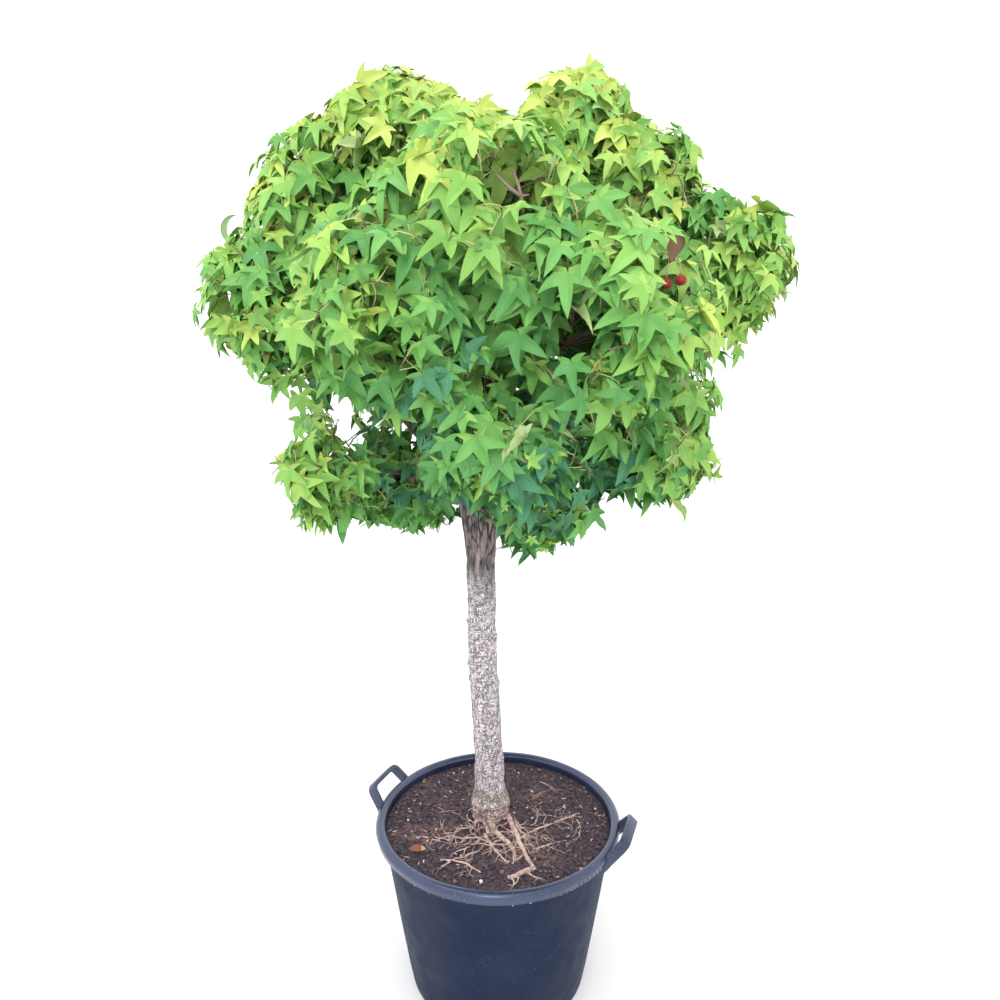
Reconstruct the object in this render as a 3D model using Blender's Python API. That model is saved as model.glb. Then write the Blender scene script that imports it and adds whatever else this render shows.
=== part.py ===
"""A sweetgum with a ball crown on a clear stem, standing in a round nursery tub.

The origin is the middle of the tub's underside, +Z is up, lengths are in metres.
The crown is worked out from a table of leaf masses. Each mass is a ball of space,
cut back where it meets its neighbours, that a stem, twigs and leaves grow into.
"""
import math
import random

import bmesh
import bpy
from mathutils import Matrix, Vector
from mathutils.bvhtree import BVHTree

# Clearance between neighbouring solids
GAP = 0.0003
SHORTEST_EDGE = 0.000002

# Tub
TUB_HEIGHT = 0.386
TUB_BASE_RADIUS = 0.197
WALL_SLOPE = 0.154
WALL = 0.004
FLOOR = 0.006
CORNER = 0.012
RIM_RADIUS = 0.259
RIM_TUBE = 0.011
TUB_SIDES = 36
DRAIN_HOLES = 6
DRAIN_SIDES = 8
DRAIN_RADIUS = 0.009
DRAIN_CIRCLE = 0.155
DRAIN_PHASE = 0.57

# Handles: a flat strap bent to a U that leans out and up from the rim
HANDLE_BEARINGS = {"handle_left": 159.0, "handle_right": -20.5}
HANDLE_HALF_SPAN = 0.060
HANDLE_REACH = 0.050
HANDLE_OUT = 0.64
HANDLE_UP = 0.77
STRAP_WIDTH = 0.022
STRAP_THICKNESS = 0.010
STRAP_BEVEL = 0.0035
HANDLE_FOOT = Vector((0.262, 0.0, 0.370))
FOOT_DROP = 0.030
FOOT_SPLAY = 0.012
LEG_LEAN = 0.002
GRIP_CORNER = 0.009
GRIP_INNER_CORNER = 0.008
LEG_INNER_FOOT = 0.004

# Soil
SOIL_TOP = 0.369
SOIL_FLAT_RADIUS = 0.205
SOIL_EDGE_DROP = 0.004
SOIL_SIDES = 36

# Trunk: foot, lean, girth and graft head
FOOT = Vector((-0.018, 0.012, SOIL_TOP + GAP))
HEAD = Vector((-0.042, 0.0, 1.105))
SWAY = 0.0025
STEM_RADIUS = 0.0300
FOOT_SWELL = 0.0035
FOOT_SWELL_HEIGHT = 0.20
BURR = 0.0105
BURR_HEIGHT = 0.030
BURR_SPREAD = 0.032
HEAD_SWELL = 0.0115
HEAD_SWELL_FROM = 0.96
HEAD_DOME = 0.045
TRUNK_SIDES = 12
TRUNK_RINGS = 15
FLARE_LOBES = 5
FLARE_DEPTH = 0.10
FLARE_HEIGHT = 0.03

# Surface roots: bearing, length and radius of those that lie on the soil
SURFACE_ROOTS = [(-72, 0.145, 0.0085), (-102, 0.115, 0.0060), (-38, 0.120, 0.0060), (-140, 0.095, 0.0050)]
ROOT_SIDES = 5
ROOT_RINGS = 6
ROOT_WAVE = 0.010
ROOT_INSET = 0.02
ROOT_THINNING = 0.62
ROOT_LIFT = 0.55

# Leaf masses: middle, radius. They bulge front to back by DEPTH_BULGE
MASSES = {
    "top_left": ((-0.183, -0.020, 1.763), 0.157),
    "top_right": ((0.144, 0.030, 1.776), 0.162),
    "upper_left": ((-0.344, 0.020, 1.663), 0.156),
    "upper_right": ((0.271, -0.020, 1.668), 0.144),
    "side_left": ((-0.435, -0.050, 1.490), 0.139),
    "side_right": ((0.439, -0.040, 1.547), 0.144),
    "lower_left": ((-0.322, -0.105, 1.168), 0.122),
    "lower_right": ((0.299, -0.100, 1.233), 0.136),
    "under_left": ((-0.192, 0.070, 1.131), 0.136),
    "under_right": ((0.056, -0.150, 1.131), 0.121),
    "front_top": ((-0.020, -0.300, 1.600), 0.171),
    "front_left": ((-0.187, -0.310, 1.461), 0.163),
    "front_right": ((0.188, -0.310, 1.443), 0.172),
    "front_low": ((0.001, -0.250, 1.265), 0.155),
    "back_top": ((0.010, 0.300, 1.620), 0.176),
    "back_left": ((-0.225, 0.300, 1.430), 0.170),
    "back_right": ((0.220, 0.300, 1.440), 0.175),
    "back_low": ((0.030, 0.240, 1.240), 0.160),
}
DEPTH_BULGE = 1.22
CROWN_MIDDLE = Vector((-0.02, 0.0, 1.44))

# Boughs: what each one leaves, how far along it, and its radius there
BOUGHS = {
    "top_left": ("trunk", 1.0, 0.0105),
    "top_right": ("trunk", 1.0, 0.0110),
    "front_top": ("trunk", 1.0, 0.0095),
    "back_top": ("trunk", 1.0, 0.0095),
    "side_left": ("trunk", 1.0, 0.0100),
    "side_right": ("trunk", 1.0, 0.0100),
    "front_low": ("trunk", 1.0, 0.0085),
    "back_low": ("trunk", 1.0, 0.0085),
    "lower_left": ("trunk", 1.0, 0.0075),
    "under_right": ("trunk", 1.0, 0.0070),
    "lower_right": ("trunk", 1.0, 0.0080),
    "under_left": ("trunk", 1.0, 0.0070),
    "upper_left": ("top_left", 0.30, 0.0075),
    "upper_right": ("top_right", 0.42, 0.0075),
    "front_left": ("front_top", 0.30, 0.0070),
    "front_right": ("front_top", 0.46, 0.0070),
    "back_left": ("back_top", 0.30, 0.0070),
    "back_right": ("back_top", 0.46, 0.0070),
}
BOUGH_SIDES = 5
BOUGH_RINGS = 6
BOUGH_TIP = 0.0048
ENTRY_DEPTH = 0.70

# How a bough bends: the pull of its parent's run, of the mass's outer side and of
# the straight line, then how far its curve's two handles reach
PARENT_PULL = 0.7
OUTER_PULL = 0.35
STRAIGHT_PULL = 0.6
FIRST_HANDLE = 0.38
LAST_HANDLE = 0.34

# Twigs and leaves
TWIG_SIDES = 3
STEM_COLLAR = 0.012
STEM_PAST_MIDDLE = 0.32
STEM_FIRST_RADIUS = 0.0042
STEM_LAST_RADIUS = 0.0026
TWIG_FIRST_RADIUS = 0.0026
TWIG_LAST_RADIUS = 0.0015
TWIGS_PER_METRE = 35.0
TWIG_REACH = 0.66
TWIG_ROOTS = (0.12, 0.98)
LAST_TWIG_ROOT = 0.97
TWIG_SHORTEST = 0.03
TWIG_SPREAD = 1.25
LEAF_SPREAD = 1.5
BLADES_PER_AREA = 1900
BLADE_REACH = 0.86
LEAF_OVERHANG = 0.022
LEAF_NODES = (1.0, 0.90, 0.78, 0.64, 0.48)
LEAF_TRIES = 15
LEAF_SIZE = 0.086
LEAF_THICKNESS = 0.0022
FOOT_SETBACK = 0.035
FACE_LIFT = 0.35
HANG_OUT = 0.6
STALK_PULL = 0.5
SHORT_STALK = 0.012
LONG_STALK = 0.115
GIRTH_STEP = 0.015
SPIRAL = math.radians(137.5)
CELL_MARGIN = 0.0012
LIMB_MARGIN = 0.0025
SEED = 5
UNION_TRIES = 12

# Colours and finishes: base colour, roughness
FINISHES = {
    "tub_plastic": ((0.030, 0.036, 0.055), 0.45),
    "soil": ((0.060, 0.038, 0.035), 0.95),
    "trunk_bark": ((0.36, 0.30, 0.27), 0.85),
    "bough_bark": ((0.13, 0.10, 0.075), 0.85),
    "leaf_green": ((0.10, 0.30, 0.03), 0.50),
}


def clear_scene():
    """Remove what the scene holds."""
    for obj in list(bpy.data.objects):
        bpy.data.objects.remove(obj, do_unlink=True)


def finish(name, kind):
    """Make one object's own Principled material of a kind in FINISHES."""
    colour, roughness = FINISHES[kind]
    material = bpy.data.materials.new(name)
    material.use_nodes = True
    shader = material.node_tree.nodes["Principled BSDF"]
    shader.inputs["Base Color"].default_value = (*colour, 1.0)
    shader.inputs["Roughness"].default_value = roughness
    material.diffuse_color = (*colour, 1.0)
    return material


def mesh_object(name, vertices, faces, kind=None):
    """Make an object from a closed set of faces and turn its faces outward."""
    mesh = bpy.data.meshes.new(name)
    mesh.from_pydata([tuple(v) for v in vertices], [], faces)
    shape = bmesh.new()
    shape.from_mesh(mesh)
    bmesh.ops.recalc_face_normals(shape, faces=shape.faces)
    shape.to_mesh(mesh)
    shape.free()
    obj = bpy.data.objects.new(name, mesh)
    bpy.context.scene.collection.objects.link(obj)
    if kind:
        mesh.materials.append(finish(name, kind))
    return obj


def remove_object(obj):
    """Remove an object and its mesh."""
    mesh = obj.data
    bpy.data.objects.remove(obj, do_unlink=True)
    bpy.data.meshes.remove(mesh)


def apply_modifiers(obj):
    """Replace an object's mesh by its evaluated mesh."""
    graph = bpy.context.evaluated_depsgraph_get()
    evaluated = bpy.data.meshes.new_from_object(obj.evaluated_get(graph), depsgraph=graph)
    obj.modifiers.clear()
    old = obj.data
    obj.data = evaluated
    bpy.data.meshes.remove(old)


def cut_away(obj, cutter):
    """Cut one object by another and remove the cutter."""
    modifier = obj.modifiers.new("cut", "BOOLEAN")
    modifier.operation = "DIFFERENCE"
    modifier.object = cutter
    apply_modifiers(obj)
    remove_object(cutter)


def join_all(obj, others, solver="EXACT"):
    """Join other closed solids to an object by one union on a collection."""
    group = bpy.data.collections.new("joined")
    bpy.context.scene.collection.children.link(group)
    for other in others:
        bpy.context.scene.collection.objects.unlink(other)
        group.objects.link(other)
    modifier = obj.modifiers.new("union", "BOOLEAN")
    modifier.operation = "UNION"
    modifier.solver = solver
    modifier.operand_type = "COLLECTION"
    modifier.collection = group
    apply_modifiers(obj)
    for other in others:
        remove_object(other)
    bpy.data.collections.remove(group)


def keep_main_shell(obj):
    """Keep the largest shell: a loose scrap is dropped and a sealed hollow is filled."""
    shape = bmesh.new()
    shape.from_mesh(obj.data)
    left = set(shape.verts)
    shells = []
    while left:
        stack = [left.pop()]
        shell = set(stack)
        while stack:
            for edge in stack.pop().link_edges:
                for vertex in edge.verts:
                    if vertex in left:
                        left.discard(vertex)
                        shell.add(vertex)
                        stack.append(vertex)
        shells.append(shell)
    shells.sort(key=len)
    scraps = [vertex for shell in shells[:-1] for vertex in shell]
    bmesh.ops.delete(shape, geom=scraps, context="VERTS")
    shape.to_mesh(obj.data)
    shape.free()


def is_sound(obj):
    """Tell whether a mesh is closed as triangles and has no edge too short to keep."""
    mesh = obj.data
    mesh.calc_loop_triangles()
    uses = {}
    for triangle in mesh.loop_triangles:
        corners = triangle.vertices
        for first, second in ((0, 1), (1, 2), (2, 0)):
            edge = frozenset((corners[first], corners[second]))
            uses[edge] = uses.get(edge, 0) + 1
    if not uses or any(count != 2 for count in uses.values()):
        return False
    places = [vertex.co for vertex in mesh.vertices]
    return all((places[first] - places[second]).length > SHORTEST_EDGE for first, second in uses)


def lathe(name, profile, sides, kind=None):
    """Turn a closed profile of (radius, height) pairs about the Z axis."""
    vertices = []
    starts = []
    for radius, height in profile:
        starts.append(len(vertices))
        if radius == 0.0:
            vertices.append((0.0, 0.0, height))
            continue
        for side in range(sides):
            angle = math.tau * side / sides
            vertices.append((radius * math.cos(angle), radius * math.sin(angle), height))
    faces = []
    count = len(profile)
    for index in range(count):
        after = (index + 1) % count
        low, high = starts[index], starts[after]
        on_axis = profile[index][0] == 0.0
        next_on_axis = profile[after][0] == 0.0
        if on_axis and next_on_axis:
            continue
        for side in range(sides):
            turn = (side + 1) % sides
            if on_axis:
                faces.append((low, high + side, high + turn))
            elif next_on_axis:
                faces.append((low + side, high, low + turn))
            else:
                faces.append((low + side, high + side, high + turn, low + turn))
    return mesh_object(name, vertices, faces, kind)


def steady_frames(points):
    """Give each point of a path its tangent and two sideways axes that don't twist."""
    frames = []
    side = None
    for index in range(len(points)):
        before = points[max(index - 1, 0)]
        after = points[min(index + 1, len(points) - 1)]
        tangent = (after - before).normalized()
        if side is None:
            helper = Vector((0, 0, 1)) if abs(tangent.z) < 0.9 else Vector((1, 0, 0))
            side = tangent.cross(helper).normalized()
        else:
            side = (side - tangent * side.dot(tangent)).normalized()
        frames.append((tangent, side, tangent.cross(side)))
    return frames


def tube(name, points, radii, sides, kind=None, spread=None):
    """Loft a closed tube along a path. spread(angle, index) scales the radius."""
    vertices = []
    for index, (point, frame) in enumerate(zip(points, steady_frames(points))):
        for side in range(sides):
            angle = math.tau * side / sides
            radius = radii[index] * (spread(angle, index) if spread else 1.0)
            vertices.append(point + (frame[1] * math.cos(angle) + frame[2] * math.sin(angle)) * radius)
    faces = [tuple(reversed(range(sides)))]
    for index in range(len(points) - 1):
        for side in range(sides):
            turn = (side + 1) % sides
            low, high = index * sides, (index + 1) * sides
            faces.append((low + side, low + turn, high + turn, high + side))
    faces.append(tuple(range((len(points) - 1) * sides, len(points) * sides)))
    return mesh_object(name, vertices, faces, kind)


def tub_outer_profile(grow=0.0):
    """Outer side of the tub from the underside up to the top of the rolled rim."""
    profile = [(TUB_BASE_RADIUS - CORNER, -grow)]
    corner_middle = (TUB_BASE_RADIUS - CORNER, CORNER)
    for step in (1, 2):
        angle = math.radians(-90 + 45 * step)
        out, up = math.cos(angle), math.sin(angle)
        profile.append((corner_middle[0] + (CORNER + grow) * out, corner_middle[1] + (CORNER + grow) * up))
    rim_height = TUB_HEIGHT - RIM_TUBE
    lip = rim_height - RIM_TUBE
    profile.append((TUB_BASE_RADIUS + WALL_SLOPE * lip + grow, lip + 0.002))
    for degrees in (-50, -10, 35, 80):
        angle = math.radians(degrees)
        reach = RIM_TUBE + grow
        profile.append((RIM_RADIUS + reach * math.cos(angle), rim_height + reach * math.sin(angle)))
    return profile


def inner_radius(height):
    """Radius of the tub's inner wall at a height."""
    return TUB_BASE_RADIUS + WALL_SLOPE * height - WALL


def make_tub():
    """The tub: a turned shell with a rolled rim and drain holes near its edge."""
    rim_height = TUB_HEIGHT - RIM_TUBE
    inside = [
        (RIM_RADIUS - RIM_TUBE * 0.7, rim_height + RIM_TUBE * 0.72),
        (RIM_RADIUS - RIM_TUBE, rim_height),
        (inner_radius(rim_height - RIM_TUBE), rim_height - RIM_TUBE),
        (inner_radius(FLOOR + CORNER), FLOOR + CORNER),
        (inner_radius(FLOOR) - CORNER, FLOOR),
    ]
    profile = [(0.0, 0.0)] + tub_outer_profile() + inside + [(0.0, FLOOR)]
    tub = lathe("pot", profile, TUB_SIDES, "tub_plastic")
    drills = []
    for hole in range(DRAIN_HOLES):
        angle = math.tau * (hole + DRAIN_PHASE) / DRAIN_HOLES
        place = Vector((DRAIN_CIRCLE * math.cos(angle), DRAIN_CIRCLE * math.sin(angle), 0.0))
        ends = [place + Vector((0, 0, -FLOOR)), place + Vector((0, 0, 2 * FLOOR))]
        drills.append(tube("drill", ends, [DRAIN_RADIUS] * 2, DRAIN_SIDES))
    for drill in drills:
        cut_away(tub, drill)
    tub.data.shade_smooth()
    tub.data.set_sharp_from_angle(angle=math.radians(40))
    return tub


def make_handle(name, bearing):
    """A strap handle: a U of flat bar whose feet hug the rim and the wall below it."""
    out = Vector((HANDLE_OUT, 0.0, HANDLE_UP)).normalized()
    along = Vector((0.0, 1.0, 0.0))
    across = along.cross(out)
    span = HANDLE_HALF_SPAN
    thick = STRAP_THICKNESS
    outline = [
        (-span - FOOT_SPLAY, -FOOT_DROP),
        (-span - thick / 2, -LEG_LEAN),
        (-span + LEG_LEAN, HANDLE_REACH - thick / 2),
        (-span + GRIP_CORNER, HANDLE_REACH + thick / 2),
        (span - GRIP_CORNER, HANDLE_REACH + thick / 2),
        (span - LEG_LEAN, HANDLE_REACH - thick / 2),
        (span + thick / 2, -LEG_LEAN),
        (span + FOOT_SPLAY, -FOOT_DROP),
        (span - thick / 2, -FOOT_DROP),
        (span - thick / 2, LEG_INNER_FOOT),
        (span - thick - LEG_LEAN, HANDLE_REACH - thick),
        (span - thick - GRIP_INNER_CORNER, HANDLE_REACH - thick / 2),
        (-span + thick + GRIP_INNER_CORNER, HANDLE_REACH - thick / 2),
        (-span + thick + LEG_LEAN, HANDLE_REACH - thick),
        (-span + thick / 2, LEG_INNER_FOOT),
        (-span + thick / 2, -FOOT_DROP),
    ]
    vertices = []
    for face_side in (-0.5, 0.5):
        for distance, rise in outline:
            vertices.append(HANDLE_FOOT + along * distance + out * rise + across * STRAP_WIDTH * face_side)
    count = len(outline)
    faces = [tuple(range(count)), tuple(reversed(range(count, 2 * count)))]
    for index in range(count):
        after = (index + 1) % count
        faces.append((index, index + count, after + count, after))
    handle = mesh_object(name, vertices, faces, "tub_plastic")
    bevel = handle.modifiers.new("rounded", "BEVEL")
    bevel.width = STRAP_BEVEL
    bevel.segments = 1
    bevel.limit_method = "ANGLE"
    bevel.angle_limit = math.radians(60)
    apply_modifiers(handle)
    turn = Matrix.Rotation(math.radians(bearing), 4, "Z")
    handle.data.transform(turn)
    body = [(0.0, -GAP)] + tub_outer_profile(GAP) + [(0.0, TUB_HEIGHT + GAP)]
    cut_away(handle, lathe("tub_body", body, TUB_SIDES))
    keep_main_shell(handle)
    return handle


def make_soil():
    """The soil that fills the tub to just under its rim."""
    edge = SOIL_TOP - SOIL_EDGE_DROP
    low = FLOOR + GAP
    profile = [
        (0.0, low),
        (inner_radius(FLOOR) - CORNER - 2 * GAP, low),
        (inner_radius(FLOOR + CORNER) - 2 * GAP, FLOOR + CORNER + GAP),
        (inner_radius(edge) - 2 * GAP, edge - 0.003),
        (inner_radius(edge) - 0.004, edge),
        (SOIL_FLAT_RADIUS, SOIL_TOP),
        (0.0, SOIL_TOP),
    ]
    return lathe("soil", profile, SOIL_SIDES, "soil")


def blend(first, last, share):
    """A value part of the way from a first to a last one."""
    return first + (last - first) * share


def smooth(value):
    """Ease from 0 to 1."""
    value = min(max(value, 0.0), 1.0)
    return value * value * (3.0 - 2.0 * value)


def trunk_point(share):
    """Middle of the trunk at a share of the way from its foot to its head."""
    point = FOOT.lerp(HEAD, share)
    sway = SWAY * math.sin(share * math.tau * 1.4)
    return point + Vector((sway, sway * 0.6, 0.0))


def trunk_radius(height):
    """Girth of the stem with its swollen foot, its burr and its graft head."""
    foot = height - FOOT.z
    radius = STEM_RADIUS + FOOT_SWELL * math.exp(-foot / FOOT_SWELL_HEIGHT)
    radius += BURR * math.exp(-((foot - BURR_HEIGHT) / BURR_SPREAD) ** 2)
    radius += HEAD_SWELL * smooth((height - HEAD_SWELL_FROM) / (HEAD.z - HEAD_SWELL_FROM))
    return radius


def make_trunk(name="trunk", kind="trunk_bark", grow=0.0):
    """The trunk, from below the soil line to the domed graft head."""
    points = [trunk_point(-0.03)]
    radii = [trunk_radius(FOOT.z) + grow]
    shares = [0.0, 0.02, 0.04, 0.07, 0.11]
    shares += [0.11 + 0.89 * step / (TRUNK_RINGS - 5) for step in range(1, TRUNK_RINGS - 4)]
    for share in shares:
        point = trunk_point(share)
        points.append(point)
        radii.append(trunk_radius(point.z) + grow)
    top = trunk_radius(HEAD.z)
    for degrees in (30, 58, 80):
        angle = math.radians(degrees)
        points.append(points[len(shares)] + Vector((0, 0, (HEAD_DOME + grow) * math.sin(angle))))
        radii.append((top + grow) * math.cos(angle))

    def flare(angle, index):
        height = max(points[index].z - FOOT.z, 0.0)
        return 1.0 + FLARE_DEPTH * math.cos(FLARE_LOBES * angle + 0.6) * math.exp(-height / FLARE_HEIGHT)

    return tube(name, points, radii, TRUNK_SIDES, kind, flare)


def surface_root(bearing, length, radius):
    """A root that leaves the burr and lies half sunk in the soil's surface."""
    heading = math.radians(bearing)
    out = Vector((math.cos(heading), math.sin(heading), 0.0))
    side = Vector((-out.y, out.x, 0.0))
    points = []
    radii = []
    for ring in range(ROOT_RINGS):
        share = ring / (ROOT_RINGS - 1)
        lift = ROOT_LIFT * radius * (1.0 - share) ** 2
        sway = ROOT_WAVE * math.sin(share * 6.0 + bearing)
        points.append(FOOT + out * (ROOT_INSET + length * share) + side * sway + Vector((0, 0, lift)))
        radii.append(radius * (1.0 - ROOT_THINNING * share))
    return tube("root", points, radii, ROOT_SIDES)


def make_rooted_trunk():
    """The trunk with its surface roots, cut flat at the soil line."""
    trunk = make_trunk()
    join_all(trunk, [surface_root(*root) for root in SURFACE_ROOTS])
    cut_away(trunk, box_below(FOOT.z))
    keep_main_shell(trunk)
    return trunk


def box_below(height):
    """A block under a height, wide enough to cut the roots."""
    half, deep = 0.3, 0.1
    corners = [(x, y, z) for z in (height - deep, height) for y in (-half, half) for x in (-half, half)]
    faces = [(0, 1, 3, 2), (4, 6, 7, 5), (0, 4, 5, 1), (2, 3, 7, 6), (0, 2, 6, 4), (1, 5, 7, 3)]
    return mesh_object("ground", corners, faces)


def bezier(ends, handles, share):
    """A point on a cubic curve."""
    rest = 1.0 - share
    return (ends[0] * rest ** 3 + handles[0] * 3 * rest ** 2 * share
            + handles[1] * 3 * rest * share ** 2 + ends[1] * share ** 3)


class Bough:
    """One tapering limb from its parent to the edge of its leaf mass."""

    def __init__(self, name, limbs):
        parent, along, self.first_radius = BOUGHS[name]
        middle, radius = MASSES[name]
        middle = Vector(middle)
        self.name = name
        self.parent = parent
        if parent == "trunk":
            start = HEAD.copy()
            leave = (middle - start).normalized()
        else:
            start = limbs[parent].at(along)
            parent_run = limbs[parent].heading(along) * PARENT_PULL
            leave = (parent_run + (middle - start).normalized()).normalized()
        outward = (middle - CROWN_MIDDLE).normalized()
        inward = ((start - middle).normalized() - outward * OUTER_PULL).normalized()
        end = middle + inward * radius * ENTRY_DEPTH
        arrive = ((middle - end).normalized() + (end - start).normalized() * STRAIGHT_PULL).normalized()
        reach = (end - start).length
        self.ends = (start, end)
        self.handles = (start + leave * reach * FIRST_HANDLE, end - arrive * reach * LAST_HANDLE)

    def at(self, share):
        """Point of the bough's axis."""
        return bezier(self.ends, self.handles, share)

    def heading(self, share):
        """Direction of the bough's axis."""
        return (self.at(min(share + 0.01, 1.0)) - self.at(max(share - 0.01, 0.0))).normalized()

    def tip_heading(self):
        """Direction of the bough's last straight run."""
        return (self.at(1.0) - self.at(1.0 - 1.0 / BOUGH_RINGS)).normalized()

    def radius(self, share):
        """Radius of the bough at a share of its length."""
        return self.first_radius + (BOUGH_TIP - self.first_radius) * share ** 0.85

    def solid(self, name, kind=None, grow=0.0):
        """The bough as a closed tube."""
        shares = [ring / BOUGH_RINGS for ring in range(BOUGH_RINGS + 1)]
        points = [self.at(share) for share in shares]
        radii = [self.radius(share) + grow for share in shares]
        return tube(name, points, radii, BOUGH_SIDES, kind)


def make_bough(bough, limbs):
    """A bough's solid, cut to seat on its parent with a clearance."""
    solid = bough.solid("bough_" + bough.name, "bough_bark")
    if bough.parent == "trunk":
        cut_away(solid, make_trunk("head", None, GAP))
    else:
        cut_away(solid, limbs[bough.parent].solid("parent", None, GAP * 1.2))
    keep_main_shell(solid)
    return solid


def limb_samples(boughs):
    """Points along the trunk and every bough, each with the room it needs."""
    samples = []
    for step in range(41):
        point = trunk_point(step / 40)
        samples.append((point, trunk_radius(point.z) + LIMB_MARGIN))
    samples.append((HEAD + Vector((0, 0, 0.02)), trunk_radius(HEAD.z) + LIMB_MARGIN))
    for bough in boughs.values():
        steps = 28
        for step in range(steps + 1):
            share = step / steps
            samples.append((bough.at(share), bough.radius(share) + LIMB_MARGIN))
    return samples


class Space:
    """The room of one leaf mass: a bulging ball, cut where it meets its neighbours."""

    def __init__(self, name):
        middle, self.radius = MASSES[name]
        self.middle = Vector(middle)
        self.walls = []
        for other, (place, size) in MASSES.items():
            if other == name:
                continue
            away = self.squeeze(Vector(place)) - self.squeeze(self.middle)
            balance = (away.length_squared + self.radius ** 2 - size ** 2) / (2.0 * away.length)
            self.walls.append((away.normalized(), balance))

    @staticmethod
    def squeeze(point):
        """Take the bulge out of a point, so that a mass is a round ball."""
        return Vector((point.x, point.y / DEPTH_BULGE, point.z))

    def stretch(self, offset):
        """A point of the room at an offset from its middle, with the bulge put in."""
        return self.middle + Vector((offset.x, offset.y * DEPTH_BULGE, offset.z))

    def holds(self, point, slack=0.0):
        """Tell whether a point is in the room, away from the neighbours' rooms."""
        offset = self.squeeze(point) - self.squeeze(self.middle)
        if offset.length > self.radius + slack:
            return False
        return all(offset.dot(away) < balance - CELL_MARGIN for away, balance in self.walls)

    def in_cell(self, point):
        """Tell whether a point is on this mass's side of every wall."""
        offset = self.squeeze(point) - self.squeeze(self.middle)
        return all(offset.dot(away) < balance - CELL_MARGIN for away, balance in self.walls)


def touches_limb(points, samples):
    """Tell whether any of some points lies in the room of a limb."""
    return any((point - place).length_squared < room * room for point in points for place, room in samples)


def leaf_outline():
    """Outline of a star-shaped leaf of five lobes, round the point where its veins meet."""
    lobes = [(-112, 0.56), (-57, 0.90), (0, 1.0), (57, 0.90), (112, 0.56)]
    notches = [(-168, 0.10), (-84, 0.35), (-28, 0.42), (28, 0.42), (84, 0.35), (168, 0.10)]
    outline = []
    for index, notch in enumerate(notches):
        outline.append(notch)
        if index < len(lobes):
            outline.append(lobes[index])
    return [(r * math.cos(math.radians(a)), r * math.sin(math.radians(a))) for a, r in outline]


LEAF_OUTLINE = leaf_outline()


def leaf_vertices(root, middle, along, up, size):
    """Vertices of one leaf: the stalk's root in a twig, the blade's rim, then its raised foot."""
    across = up.cross(along)
    rim = [middle + along * (x * size) + across * (y * size) for x, y in LEAF_OUTLINE]
    foot = middle + along * ((LEAF_OUTLINE[0][0] - FOOT_SETBACK) * size) + up * LEAF_THICKNESS
    return [root] + rim + [foot]


def blade_faces():
    """Faces of a blade: a flat underside and a top that falls away from its foot."""
    rim = len(LEAF_OUTLINE)
    return [tuple(range(1, rim + 1))] + [(index, index + 1, rim + 1) for index in range(1, rim)]


def leaf_solid(vertices):
    """A leaf with its stalk as a thin closed solid."""
    rim = len(LEAF_OUTLINE)
    stalk = [(0, 1, rim + 1), (0, rim + 1, rim), (0, rim, 1)]
    return mesh_object("leaf", vertices, blade_faces() + stalk)


def leaf_tree(vertices):
    """A leaf's blade, ready for overlap tests."""
    return BVHTree.FromPolygons(vertices, blade_faces())


def twig_tree(points, radius):
    """A twig as a thin band, ready for overlap tests."""
    side = (points[-1] - points[0]).orthogonal().normalized() * radius
    vertices = [point + side * sign for point in points for sign in (-1, 1)]
    faces = [(2 * index, 2 * index + 1, 2 * index + 3, 2 * index + 2) for index in range(len(points) - 1)]
    return BVHTree.FromPolygons(vertices, faces)


def leafy_twig(points, radii, leaf):
    """A three-sided twig that runs on into the leaf at its tip, as one closed solid."""
    stalk_low, stalk_high = leaf[1], leaf[-2]
    across = (stalk_high - stalk_low).normalized()
    along = (leaf[6] - (stalk_low + stalk_high) / 2).normalized()
    heading = (points[-1] - points[-2]).normalized()
    up = along.cross(across)
    up = up * heading.dot(along) - along * heading.dot(up)
    frames = []
    for index in reversed(range(len(points))):
        tangent = (points[min(index + 1, len(points) - 1)] - points[max(index - 1, 0)]).normalized()
        up = (up - tangent * up.dot(tangent)).normalized()
        frames.append((up, tangent.cross(up)))
    frames.reverse()
    vertices = []
    for point, radius, (lift, side) in zip(points, radii, frames):
        for degrees in (0, 120, 240):
            angle = math.radians(degrees)
            vertices.append(point + (lift * math.cos(angle) + side * math.sin(angle)) * radius)
    faces = [(0, 2, 1)]
    for ring in range(len(points) - 1):
        for side in range(3):
            turn = (side + 1) % 3
            faces.append((ring * 3 + side, ring * 3 + turn, ring * 3 + 3 + turn, ring * 3 + 3 + side))
    last = 3 * (len(points) - 1)
    first_rim = len(vertices)
    vertices += leaf[1:]
    apex = len(vertices) - 1
    left, right = first_rim, apex - 1
    if (stalk_low - stalk_high).dot(frames[-1][1]) < 0:
        left, right = right, left
    faces += [(last, last + 1, left, apex), (last + 1, last + 2, right, left), (last + 2, last, apex, right)]
    faces.append(tuple(range(first_rim, apex)))
    faces += [(index, index + 1, apex) for index in range(first_rim, apex - 1)]
    return mesh_object("twig", vertices, faces)


def twig_points(start, leave, end, rings):
    """Points on a twig that leaves its stem in one direction and bends to its end."""
    reach = (end - start).length
    bend = start + leave * reach * 0.45
    points = []
    for ring in range(rings + 1):
        share = ring / rings
        points.append(start * (1 - share) ** 2 + bend * 2 * share * (1 - share) + end * share ** 2)
    return points


def on_path(points, share):
    """A point on a chain of straight runs, just short of its end."""
    place = share * (len(points) - 1)
    index = min(int(place), len(points) - 2)
    return points[index].lerp(points[index + 1], place - index)


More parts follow.
